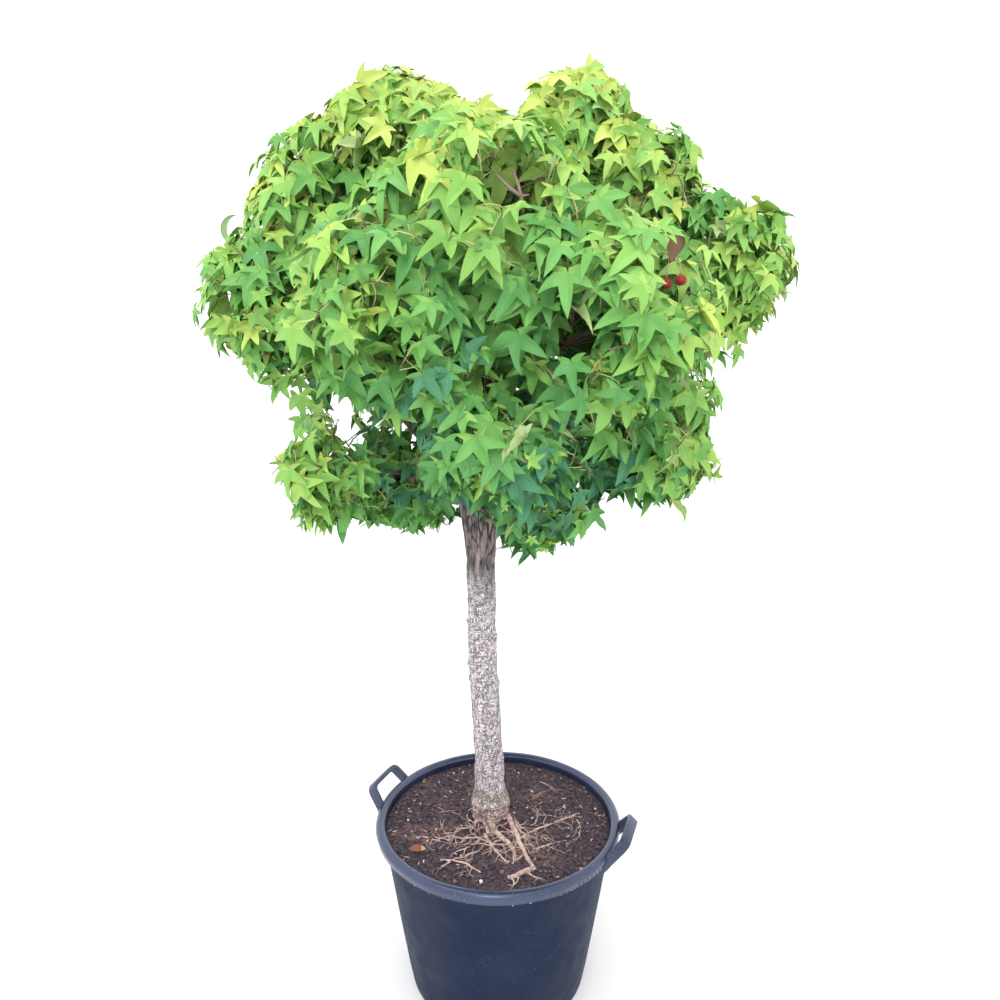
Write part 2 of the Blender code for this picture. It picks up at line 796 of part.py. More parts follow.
def spread_directions(count, outward, dice, spread):
    """Directions spread evenly over the outer part of a ball."""
    side = outward.orthogonal().normalized()
    other = outward.cross(side)
    phase = dice.uniform(0, math.tau)
    directions = []
    for index in range(count):
        level = 1.0 - spread * (index + 0.4) / count
        ring = math.sqrt(max(1.0 - level * level, 0.0))
        angle = phase + index * SPIRAL
        directions.append(outward * level + (side * math.cos(angle) + other * math.sin(angle)) * ring)
    return directions


class LeafMass:
    """A mass of foliage: one stem, twigs that branch from it and leaves on the twigs."""

    def __init__(self, name, bough, samples):
        self.name = name
        self.space = Space(name)
        self.samples = samples
        self.dice = random.Random(SEED + sum(ord(letter) for letter in name))
        self.bough = bough
        self.outward = (self.space.middle - CROWN_MIDDLE).normalized()
        self.stem = self.stem_path()
        self.twigs = self.twig_paths()
        self.tips, self.leaves = self.grow_leaves()

    def stem_path(self):
        """The stem goes on from the bough's tip to the outer part of the mass."""
        heading = self.bough.tip_heading()
        start = self.bough.at(1.0) + heading * GAP
        end = self.space.middle + self.outward * self.space.radius * STEM_PAST_MIDDLE
        return [start] + twig_points(start + heading * STEM_COLLAR, heading, end, 2)

    def twig_paths(self):
        """Twigs that end on the outer side of the room, the low ones leaving first."""
        count = max(4, round(self.space.radius * TWIGS_PER_METRE))
        twigs = []
        directions = spread_directions(count, self.outward, self.dice, TWIG_SPREAD)
        for index, direction in enumerate(reversed(directions)):
            end = self.space.middle + direction * self.space.radius * TWIG_REACH
            share = blend(*TWIG_ROOTS, index / (count - 1))
            start = on_path(self.stem, min(share, LAST_TWIG_ROOT))
            leave = ((end - start).normalized() + self.outward * 0.5).normalized()
            while not self.space.in_cell(end) and (end - start).length > TWIG_SHORTEST:
                end = end.lerp(start, 0.12)
            path = twig_points(start, leave, end, 2)
            if not touches_limb(path[1:], self.samples):
                twigs.append(path)
        return twigs

    def fits(self, vertices):
        """A leaf fits if it stays in the room and off the limbs."""
        if not all(self.space.holds(vertex, LEAF_OVERHANG) for vertex in vertices):
            return False
        foot = vertices[-1]
        probes = vertices + [foot.lerp(tip, 0.55) for tip in vertices[2:-2:2]] + [foot.lerp(vertices[0], 0.5)]
        return not touches_limb(probes, self.samples)

    def nodes(self):
        """Where leaves may leave the twigs: each twig's tip, then places down from it."""
        places = []
        for number, twig in enumerate(self.twigs):
            for share in LEAF_NODES:
                places.append((number, share, on_path(twig, share)))
        return places

    def grow_leaves(self):
        """Blades spread evenly over the outer side of the room, each on the nearest free node."""
        tips = {}
        leaves = []
        free = self.nodes()
        taken = [twig_tree(twig, TWIG_FIRST_RADIUS) for twig in self.twigs]
        taken.append(twig_tree(self.stem, STEM_FIRST_RADIUS))
        count = round(BLADES_PER_AREA * self.space.radius ** 2)
        for direction in spread_directions(count, self.outward, self.dice, LEAF_SPREAD):
            middle = self.space.stretch(direction * self.space.radius * BLADE_REACH)
            size = LEAF_SIZE * self.dice.uniform(0.88, 1.08)
            turn = self.dice.uniform(-0.5, 0.5)
            free.sort(key=lambda node: (node[2] - middle).length)
            found = self.hang_leaf(middle, direction, size, turn, free, taken)
            if found is None:
                continue
            vertices, node = found
            free.remove(node)
            taken.append(leaf_tree(vertices))
            if node[1] == 1.0:
                tips[node[0]] = vertices
            else:
                leaves.append(vertices)
        return tips, leaves

    def runs_on(self, number, stalk, along, up):
        """A twig runs on into a leaf at its tip only where it needs no sharp turn or twist."""
        twig = self.twigs[number]
        heading = (twig[-1] - twig[-2]).normalized()
        twist = abs(heading.dot(up.cross(along)))
        return heading.dot(stalk) > 0.5 and heading.dot(along) > -0.2 and twist < 0.8

    def hang_leaf(self, middle, direction, size, turn, free, taken):
        """The first of several tries that fits: blade on the room's skin, stalk to a near node."""
        out = (middle - CROWN_MIDDLE).normalized()
        up = (direction * 0.6 + out * 0.5 + Vector((0, 0, FACE_LIFT))).normalized()
        flat_out = Vector((out.x, out.y, 0.0)) + direction * 0.2
        hang = Vector((0, 0, -1)) + flat_out * HANG_OUT
        for attempt in range(LEAF_TRIES):
            node = free[attempt % min(3, len(free))]
            pull = (middle - node[2]).normalized()
            along = hang + pull * STALK_PULL + up.cross(hang) * (turn + 0.45 * (attempt % 5 - 2))
            along = (along - up * along.dot(up)).normalized()
            scale = size * (1.0 - 0.03 * attempt)
            vertices = leaf_vertices(node[2], middle, along, up, scale)
            stalk = vertices[1] - node[2]
            if not SHORT_STALK < stalk.length < LONG_STALK or stalk.normalized().dot(along) < 0.0:
                continue
            if node[1] == 1.0 and not self.runs_on(node[0], stalk.normalized(), along, up):
                continue
            if not self.fits(vertices):
                continue
            blade = leaf_tree(vertices)
            if not any(blade.overlap(other) for other in taken):
                return vertices, node
        return None

    def pieces(self, leaf_count, girth):
        """The stem and the closed solids that are joined to it."""
        rings = len(self.stem)
        radii = [girth * blend(STEM_FIRST_RADIUS, STEM_LAST_RADIUS, i / (rings - 1)) for i in range(rings)]
        stem = tube("foliage_" + self.name, self.stem, radii, TWIG_SIDES)
        parts = []
        for number, twig in enumerate(self.twigs):
            last = len(twig) - 1
            radii = [girth * blend(TWIG_FIRST_RADIUS, TWIG_LAST_RADIUS, i / last) for i in range(last + 1)]
            if number in self.tips:
                parts.append(leafy_twig(twig, radii, self.tips[number]))
            else:
                parts.append(tube("twig", twig, radii, TWIG_SIDES))
        parts += [leaf_solid(vertices) for vertices in self.leaves[:leaf_count]]
        return stem, parts

    def solid(self):
        """Join stem, twigs and leaves to one solid. Where that fails, try again a little thicker."""
        for attempt in range(UNION_TRIES):
            for solver in ("EXACT", "MANIFOLD"):
                spare = max(0, attempt - UNION_TRIES // 2)
                stem, parts = self.pieces(len(self.leaves) - spare, 1.0 + GIRTH_STEP * attempt)
                join_all(stem, parts, solver)
                keep_main_shell(stem)
                if is_sound(stem):
                    stem.name = "foliage_" + self.name
                    stem.data.materials.append(finish(stem.name, "leaf_green"))
                    return stem
                remove_object(stem)
        raise RuntimeError("no sound union for " + self.name)


def make_crown():
    """All boughs and leaf masses."""
    boughs = {}
    for name in BOUGHS:
        boughs[name] = Bough(name, boughs)
    for bough in boughs.values():
        make_bough(bough, boughs)
    samples = limb_samples(boughs)
    for name in MASSES:
        LeafMass(name, boughs[name], samples).solid()


def main():
    """Build the potted tree."""
    clear_scene()
    make_tub()
    for name, bearing in HANDLE_BEARINGS.items():
        make_handle(name, bearing)
    make_soil()
    make_rooted_trunk()
    make_crown()


main()
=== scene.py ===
"""A sweetgum with a ball crown on a clear stem, standing in a round nursery tub.

Limbs, twigs and leaves grow by one rule from a table of leaf masses. Each mass is
a bulging ball of space, cut back where it meets its neighbours. Lengths are in
metres, +Z is up, and the origin is the middle of the tub's underside.
"""
import logging
import math
import random
from collections.abc import Callable, Iterable, Sequence
from dataclasses import dataclass, field
from enum import Enum

import bpy
import numpy as np
from mathutils import Matrix, Vector, noise


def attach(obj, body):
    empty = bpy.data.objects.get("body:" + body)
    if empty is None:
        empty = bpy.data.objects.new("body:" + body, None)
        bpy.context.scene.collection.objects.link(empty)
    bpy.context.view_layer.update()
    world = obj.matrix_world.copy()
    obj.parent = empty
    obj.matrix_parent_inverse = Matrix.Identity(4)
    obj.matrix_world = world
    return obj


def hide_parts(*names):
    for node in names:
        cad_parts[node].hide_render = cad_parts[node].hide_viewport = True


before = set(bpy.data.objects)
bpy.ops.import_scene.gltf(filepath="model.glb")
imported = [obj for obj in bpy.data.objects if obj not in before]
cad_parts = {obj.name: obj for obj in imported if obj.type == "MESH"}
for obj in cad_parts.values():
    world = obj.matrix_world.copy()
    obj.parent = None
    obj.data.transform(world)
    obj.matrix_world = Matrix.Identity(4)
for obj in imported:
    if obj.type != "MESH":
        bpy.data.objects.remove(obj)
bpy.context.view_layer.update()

log = logging.getLogger("sweetgum")

Colour = tuple[float, float, float]
Path = list[Vector]

BODY = "root"
UP = Vector((0.0, 0.0, 1.0))
SPIRAL = math.radians(137.5)


# Small sums that several pieces share


def blend(first: float, last: float, share: float) -> float:
    """A value part of the way from a first to a last one."""
    return first + (last - first) * share


def smooth(value: float) -> float:
    """Ease from 0 to 1."""
    value = min(max(value, 0.0), 1.0)
    return value * value * (3.0 - 2.0 * value)


def polar(radius: float, bearing: float, height: float) -> Vector:
    """The point at a radius and a bearing in radians about the Z axis."""
    return Vector((radius * math.cos(bearing), radius * math.sin(bearing), height))


def arc(middle: tuple[float, float], radius: float, first: float, last: float, steps: int) -> list[tuple[float, float]]:
    """Points on part of a circle in a profile's plane.

    Args:
        middle: Radius and height of the circle's middle.
        radius: The circle's own radius.
        first: Bearing of the first point in degrees.
        last: Bearing of the last point in degrees.
        steps: Number of steps between them.

    Returns:
        The points as pairs of radius and height.
    """
    points = []
    for step in range(steps + 1):
        angle = math.radians(blend(first, last, step / steps))
        points.append((middle[0] + radius * math.cos(angle), middle[1] + radius * math.sin(angle)))
    return points


def bezier(ends: Sequence[Vector], handles: Sequence[Vector], share: float) -> Vector:
    """A point on a cubic curve."""
    rest = 1.0 - share
    return (ends[0] * rest ** 3 + handles[0] * 3 * rest ** 2 * share
            + handles[1] * 3 * rest * share ** 2 + ends[1] * share ** 3)


def twig_points(start: Vector, leave: Vector, end: Vector, rings: int) -> Path:
    """Points on a twig that leaves its stem in one direction and bends to its end.

    Args:
        start: Where the twig begins.
        leave: Direction in which it leaves.
        end: Where it ends.
        rings: Number of runs.

    Returns:
        The points, from start to end.
    """
    bend = start + leave * (end - start).length * 0.45
    points = []
    for ring in range(rings + 1):
        share = ring / rings
        points.append(start * (1 - share) ** 2 + bend * 2 * share * (1 - share) + end * share ** 2)
    return points


def on_path(points: Path, share: float) -> Vector:
    """A point on a chain of straight runs."""
    place = share * (len(points) - 1)
    index = min(int(place), len(points) - 2)
    return points[index].lerp(points[index + 1], place - index)


def spread_directions(count: int, outward: Vector, dice: random.Random, spread: float) -> Path:
    """Directions spread evenly over the outer part of a ball.

    Args:
        count: How many directions.
        outward: The middle of the part that they cover.
        dice: Source of the turn about it.
        spread: Part of the ball that is covered, 2 for all of it.

    Returns:
        Unit vectors, the most outward one first.
    """
    side = outward.orthogonal().normalized()
    other = outward.cross(side)
    phase = dice.uniform(0, math.tau)
    directions = []
    for index in range(count):
        level = 1.0 - spread * (index + 0.4) / count
        ring = math.sqrt(max(1.0 - level * level, 0.0))
        angle = phase + index * SPIRAL
        directions.append(outward * level + (side * math.cos(angle) + other * math.sin(angle)) * ring)
    return directions


def random_vector(dice: random.Random, size: float) -> Vector:
    """A vector whose parts each lie within a size of zero."""
    return Vector((dice.uniform(-size, size), dice.uniform(-size, size), dice.uniform(-size, size)))


# Finishes


@dataclass(frozen=True)
class PlainFinish:
    """A finish of one colour all over."""

    name: str
    colour: Colour
    roughness: float = 0.5
    specular: float = 0.5

    def material(self) -> bpy.types.Material:
        """Make the material, or find it if it was made before."""
        material = bpy.data.materials.get(self.name)
        if material:
            return material
        material = bpy.data.materials.new(self.name)
        material.use_nodes = True
        shader = material.node_tree.nodes["Principled BSDF"]
        shader.inputs["Base Color"].default_value = (*self.colour, 1.0)
        shader.inputs["Roughness"].default_value = self.roughness
        shader.inputs["Specular IOR Level"].default_value = self.specular
        material.diffuse_color = (*self.colour, 1.0)
        return material


class Nodes:
    """The shader nodes of one patterned material."""

    def __init__(self, name: str) -> None:
        """Start a material with a Principled shader that reads the object's own place."""
        self.material = bpy.data.materials.new(name)
        self.material.use_nodes = True
        self.tree = self.material.node_tree
        self.shader = self.tree.nodes["Principled BSDF"]
        self.place = self.tree.nodes.new("ShaderNodeTexCoord").outputs["Object"]

    def node(self, kind: str, **inputs: object) -> bpy.types.Node:
        """Add a node.

        Args:
            kind: Type of the node, without its ShaderNode prefix.
            **inputs: Values or sockets for its inputs, with _ for a space.

        Returns:
            The node.
        """
        node = self.tree.nodes.new("ShaderNode" + kind)
        for name, value in inputs.items():
            self.feed(node.inputs[name.replace("_", " ")], value)
        return node

    def feed(self, socket: bpy.types.NodeSocket, value: object) -> None:
        """Link a socket to an input, or set the input's value."""
        if isinstance(value, bpy.types.NodeSocket):
            self.tree.links.new(value, socket)
        else:
            socket.default_value = value

    def stretched(self, x: float, y: float, z: float) -> bpy.types.NodeSocket:
        """The object's place, scaled along its axes."""
        return self.node("Mapping", Vector=self.place, Scale=(x, y, z)).outputs["Vector"]

    def noise(self, scale: float, detail: float = 4.0, place: bpy.types.NodeSocket | None = None) -> bpy.types.NodeSocket:
        """Cloudy noise from 0 to 1."""
        node = self.node("TexNoise", Vector=place or self.place, Scale=scale, Detail=detail)
        return node.outputs["Fac"]

    def cells(self, scale: float, place: bpy.types.NodeSocket | None = None) -> bpy.types.Node:
        """A cell pattern's node."""
        return self.node("TexVoronoi", Vector=place or self.place, Scale=scale)

    def ramp(self, value: bpy.types.NodeSocket, *stops: tuple[float, Colour]) -> bpy.types.NodeSocket:
        """Turn a value into colour.

        Args:
            value: Socket that gives the value.
            *stops: Pairs of a value and its colour.

        Returns:
            The colour's socket.
        """
        node = self.node("ValToRGB", Fac=value)
        elements = node.color_ramp.elements
        while len(elements) < len(stops):
            elements.new(0.5)
        for element, (position, colour) in zip(elements, stops):
            element.position = position
            element.color = (*colour, 1.0)
        return node.outputs["Color"]

    def levels(self, value: bpy.types.NodeSocket, low: float, high: float) -> bpy.types.NodeSocket:
        """Stretch a value so that low gives 0 and high gives 1."""
        node = self.node("MapRange", Value=value, From_Min=low, From_Max=high)
        return node.outputs["Result"]

    def between(self, share: bpy.types.NodeSocket, first: object, second: object) -> bpy.types.NodeSocket:
        """Mix two colours by a share."""
        node = self.tree.nodes.new("ShaderNodeMix")
        node.data_type = "RGBA"
        self.feed(node.inputs["Factor"], share)
        for socket, value in ((node.inputs[6], first), (node.inputs[7], second)):
            self.feed(socket, (*value, 1.0) if isinstance(value, tuple) else value)
        return node.outputs[2]

    def lines(self, scale: float, place: bpy.types.NodeSocket, width: float) -> bpy.types.NodeSocket:
        """Thin lines, 1 along the middle of noise and 0 at a width from it."""
        off = self.sum("ABSOLUTE", self.sum("SUBTRACT", self.noise(scale, 3.0, place), 0.5), 0.0)
        return self.levels(off, width, width * 0.35)

    def sum(self, operation: str, first: object, second: object) -> bpy.types.NodeSocket:
        """A sum of two values, by the operation's name."""
        node = self.tree.nodes.new("ShaderNodeMath")
        node.operation = operation
        self.feed(node.inputs[0], first)
        self.feed(node.inputs[1], second)
        return node.outputs[0]

    def drawn(self, name: str) -> bpy.types.Node:
        """The parts of a colour that the mesh carries."""
        attribute = self.node("Attribute")
        attribute.attribute_name = name
        return self.node("SeparateColor", Color=attribute.outputs["Color"])

    def finish(self, colour: object, roughness: object, height: object = None, rise: float = 0.001) -> bpy.types.Material:
        """Feed the shader.

        Args:
            colour: Socket or value of the base colour.
            roughness: Socket or value of the roughness.
            height: Socket of the fine relief, or None.
            rise: Height of the fine relief.

        Returns:
            The material.
        """
        self.feed(self.shader.inputs["Base Color"], colour)
        self.feed(self.shader.inputs["Roughness"], roughness)
        if height is not None:
            bump = self.node("Bump", Height=height, Distance=rise, Strength=1.0)
            self.feed(self.shader.inputs["Normal"], bump.outputs["Normal"])
        return self.material


@dataclass(frozen=True)
class TubPlastic:
    """Dark slate-blue moulded plastic with dust and rain marks, dull on the wall."""

    name: str = "tub_wall"
    colour: Colour = (0.009, 0.017, 0.044)
    worn: Colour = (0.020, 0.027, 0.056)
    dust: Colour = (0.12, 0.13, 0.17)
    shine: float = 0.10
    gloss: tuple[float, float] = (0.45, 0.60)

    def material(self) -> bpy.types.Material:
        """Make the material."""
        nodes = Nodes(self.name)
        nodes.shader.inputs["Specular IOR Level"].default_value = self.shine
        nodes.shader.inputs["Specular Tint"].default_value = (0.70, 0.77, 1.0, 1.0)
        clouds = nodes.noise(9.0, 5.0)
        streaks = nodes.noise(60.0, 3.0, nodes.stretched(1.0, 1.0, 0.12))
        tint = nodes.between(nodes.levels(clouds, 0.35, 0.75), self.colour, self.worn)
        tint = nodes.between(nodes.sum("MULTIPLY", nodes.levels(streaks, 0.58, 0.85), 0.45), tint, self.worn)
        specks = nodes.cells(230.0).outputs["Distance"]
        few = nodes.levels(nodes.noise(38.0, 2.0), 0.50, 0.66)
        speck = nodes.sum("MULTIPLY", nodes.levels(specks, 0.20, 0.10), few)
        tint = nodes.between(nodes.sum("MULTIPLY", nodes.levels(nodes.noise(340.0, 4.0), 0.50, 0.72), 0.6), tint, self.worn)
        tint = nodes.between(speck, tint, self.dust)
        low, high = self.gloss
        rough = nodes.ramp(nodes.noise(30.0, 6.0), (0.3, (low,) * 3), (0.7, (high,) * 3))
        grain = nodes.noise(420.0, 3.0)
        return nodes.finish(tint, rough, grain, 0.00025)


RIM_PLASTIC = TubPlastic("tub_rim", (0.012, 0.018, 0.047), (0.036, 0.046, 0.104), (0.20, 0.21, 0.30), 1.0, (0.17, 0.28))
GRIP_PLASTIC = TubPlastic("tub_grip", (0.018, 0.025, 0.050), (0.058, 0.070, 0.118), (0.20, 0.21, 0.27), 0.55, (0.24, 0.38))


@dataclass(frozen=True)
class Soil:
    """Dark crumbly potting soil, reddish where bark lies in it."""

    name: str = "soil"
    dark: Colour = (0.017, 0.011, 0.018)
    mid: Colour = (0.088, 0.060, 0.077)
    red: Colour = (0.190, 0.105, 0.095)
    pale: Colour = (0.46, 0.38, 0.36)

    def material(self) -> bpy.types.Material:
        """Make the material."""
        nodes = Nodes(self.name)
        grain = nodes.noise(150.0, 8.0)
        tint = nodes.between(nodes.levels(grain, 0.40, 0.64), self.dark, self.mid)
        patches = nodes.levels(nodes.noise(9.0, 4.0), 0.54, 0.66)
        reds = nodes.sum("MULTIPLY", patches, nodes.levels(nodes.noise(90.0, 4.0), 0.42, 0.62))
        tint = nodes.between(reds, tint, self.red)
        fibre = nodes.cells(330.0, nodes.stretched(1.0, 0.35, 1.0)).outputs["Distance"]
        few = nodes.levels(nodes.noise(120.0, 2.0), 0.55, 0.62)
        tint = nodes.between(nodes.sum("MULTIPLY", nodes.levels(fibre, 0.22, 0.12), few), tint, self.pale)
        return nodes.finish(tint, 0.92, nodes.noise(320.0, 6.0), 0.0012)


@dataclass(frozen=True)
class TrunkBark:
    """Bark that the mesh's relief colours: pale flakes, dark cracks, a browner head."""

    name: str = "trunk_bark"
    flake: Colour = (0.86, 0.80, 0.82)
    lilac: Colour = (0.44, 0.41, 0.51)
    tan: Colour = (0.60, 0.49, 0.42)
    crack: Colour = (0.105, 0.080, 0.080)
    head_flake: Colour = (0.19, 0.155, 0.158)
    head_streak: Colour = (0.40, 0.335, 0.325)
    head_crack: Colour = (0.036, 0.026, 0.030)
    burr: Colour = (0.68, 0.475, 0.460)
    moss: Colour = (0.200, 0.155, 0.060)

    def material(self) -> bpy.types.Material:
        """Make the material."""
        nodes = Nodes(self.name)
        drawn = nodes.drawn("bark")
        crack, head, foot = drawn.outputs[0], drawn.outputs[1], drawn.outputs[2]
        flake = nodes.between(nodes.levels(nodes.noise(240.0, 6.0), 0.36, 0.54), self.lilac, self.flake)
        flake = nodes.between(nodes.levels(nodes.noise(40.0, 4.0), 0.56, 0.72), flake, self.tan)
        upright = nodes.lines(170.0, nodes.stretched(1.0, 1.0, 0.30), 0.050)
        level = nodes.lines(190.0, nodes.stretched(0.22, 0.22, 1.0), 0.044)
        fine = nodes.sum("MAXIMUM", upright, level)
        gap = nodes.sum("MULTIPLY", fine, nodes.levels(nodes.noise(70.0, 3.0), 0.26, 0.50))
        pale = nodes.between(nodes.sum("MAXIMUM", crack, nodes.sum("MULTIPLY", gap, 0.90)), flake, self.crack)
        furrow = nodes.noise(170.0, 6.0, nodes.stretched(1.0, 1.0, 0.16))
        brown = nodes.between(nodes.levels(furrow, 0.48, 0.66), self.head_flake, self.head_streak)
        brown = nodes.between(nodes.levels(furrow, 0.50, 0.34), brown, self.head_crack)
        brown = nodes.between(crack, brown, self.head_crack)
        tint = nodes.between(head, pale, brown)
        knobs = nodes.between(nodes.levels(nodes.noise(130.0, 4.0), 0.36, 0.52), self.tan, self.burr)
        knobs = nodes.between(nodes.sum("MULTIPLY", fine, 0.9), knobs, self.crack)
        tint = nodes.between(nodes.levels(foot, 0.60, 0.95), tint, knobs)
        ring = nodes.levels(nodes.sum("ABSOLUTE", nodes.sum("SUBTRACT", foot, 0.46), 0.0), 0.26, 0.08)
        mossy = nodes.sum("MULTIPLY", ring, nodes.levels(nodes.noise(210.0, 6.0), 0.38, 0.60))
        tint = nodes.between(nodes.sum("MULTIPLY", mossy, 0.85), tint, self.moss)
        return nodes.finish(tint, 0.88, nodes.sum("SUBTRACT", nodes.noise(420.0, 6.0), fine), 0.0009)


@dataclass(frozen=True)
class LimbBark:
    """Dark brown bark of boughs, with pale flecks."""

    name: str = "bough_bark"
    dark: Colour = (0.050, 0.038, 0.032)
    light: Colour = (0.150, 0.115, 0.090)
    fleck: Colour = (0.30, 0.25, 0.21)

    def material(self) -> bpy.types.Material:
        """Make the material."""
        nodes = Nodes(self.name)
        tint = nodes.between(nodes.levels(nodes.noise(70.0, 5.0), 0.38, 0.66), self.dark, self.light)
        flecks = nodes.levels(nodes.cells(260.0).outputs["Distance"], 0.20, 0.12)
        few = nodes.levels(nodes.noise(110.0, 2.0), 0.52, 0.60)
        tint = nodes.between(nodes.sum("MULTIPLY", flecks, few), tint, self.fleck)
        return nodes.finish(tint, 0.82, nodes.noise(260.0, 5.0), 0.0009)


@dataclass(frozen=True)
class RootSkin:
    """Pinkish beige skin of bared roots, soiled in places."""

    name: str = "root_skin"
    clean: Colour = (0.46, 0.29, 0.27)
    pale: Colour = (0.72, 0.56, 0.48)
    soiled: Colour = (0.13, 0.08, 0.08)

    def material(self) -> bpy.types.Material:
        """Make the material."""
        nodes = Nodes(self.name)
        tint = nodes.between(nodes.levels(nodes.noise(75.0, 4.0), 0.40, 0.62), self.clean, self.pale)
        dirt = nodes.levels(nodes.noise(140.0, 5.0), 0.55, 0.68)
        tint = nodes.between(nodes.sum("MULTIPLY", dirt, 0.8), tint, self.soiled)
        return nodes.finish(tint, 0.75, nodes.noise(300.0, 5.0), 0.0006)


class Tone(Enum):
    """Leaf colours, dark to light: darker tones are painted shade low in the crown, lighter ones painted sky light on
    its top; the lightest are also the real colour of the youngest shoots.
    """

    INNER = (0.040, 0.125, 0.048)
    DEEP = (0.055, 0.185, 0.068)
    TEAL = (0.072, 0.245, 0.122)
    MID = (0.106, 0.315, 0.086)
    FRESH = (0.152, 0.385, 0.090)
    BRIGHT = (0.226, 0.460, 0.098)
    LIME = (0.330, 0.535, 0.116)
    YELLOW = (0.470, 0.595, 0.130)
    PALE = (0.400, 0.530, 0.230)
    BRONZE = (0.420, 0.310, 0.130)

    def vein(self) -> Colour:
        """The paler colour of the leaf's veins."""
        return tuple(blend(part, 0.62, 0.17) for part in self.value)

    def lighter(self) -> "Tone":
        """The next lighter tone, for the leaf's crest where it turns up to the sky: partly painted sky light, partly
        the crest's real yellower green.
        """
        order = LEAF_TONES.index(self)
        return LEAF_TONES[order + 1] if order < LEAF_TONES.index(Tone.YELLOW) else self

    def finishes(self) -> tuple[PlainFinish, PlainFinish]:
        """Finishes of the blade and of its veins."""
        name = self.name.lower()
        return (PlainFinish("leaf_" + name, self.value, 0.50, 0.26),
                PlainFinish("vein_" + name, self.vein(), 0.5, 0.4))


LEAF_TONES = list(Tone)
# The tones that pick_tone deals out as painted light, darkest first.
DARK_TO_LIGHT = [Tone.INNER, Tone.DEEP, Tone.TEAL, Tone.MID, Tone.FRESH, Tone.BRIGHT, Tone.LIME, Tone.YELLOW]

TWIG_BROWN = PlainFinish("twig_brown", (0.155, 0.110, 0.075), 0.75)
TWIG_GREEN = PlainFinish("twig_green", (0.200, 0.260, 0.075), 0.6)
STALK_GREEN = PlainFinish("stalk_green", (0.480, 0.580, 0.230), 0.5)
STALK_WARM = PlainFinish("stalk_warm", (0.600, 0.500, 0.260), 0.5)
CRUMB_DARK = PlainFinish("crumb_dark", (0.038, 0.026, 0.036), 0.95)
CRUMB_BROWN = PlainFinish("crumb_brown", (0.120, 0.080, 0.090), 0.95)
CRUMB_RED = PlainFinish("crumb_red", (0.230, 0.125, 0.110), 0.9)
CHIP_PALE = PlainFinish("chip_pale", (0.62, 0.52, 0.47), 0.85)
GRANULE = PlainFinish("white_granule", (0.78, 0.77, 0.74), 0.8)
FRUIT_RED = PlainFinish("fruit_red", (0.360, 0.030, 0.022), 0.55)
FRUIT_STALK = PlainFinish("fruit_stalk", (0.46, 0.36, 0.22), 0.7)
DRY_LEAF = PlainFinish("dry_leaf", (0.210, 0.120, 0.070), 0.7)
FALLEN_RED = PlainFinish("fallen_red", (0.250, 0.080, 0.050), 0.6)
FALLEN_YELLOW = PlainFinish("fallen_yellow", (0.420, 0.400, 0.110), 0.6)
FLOOR = PlainFinish("studio_floor", (0.90, 0.90, 0.90), 0.9, 0.1)


# Mesh making


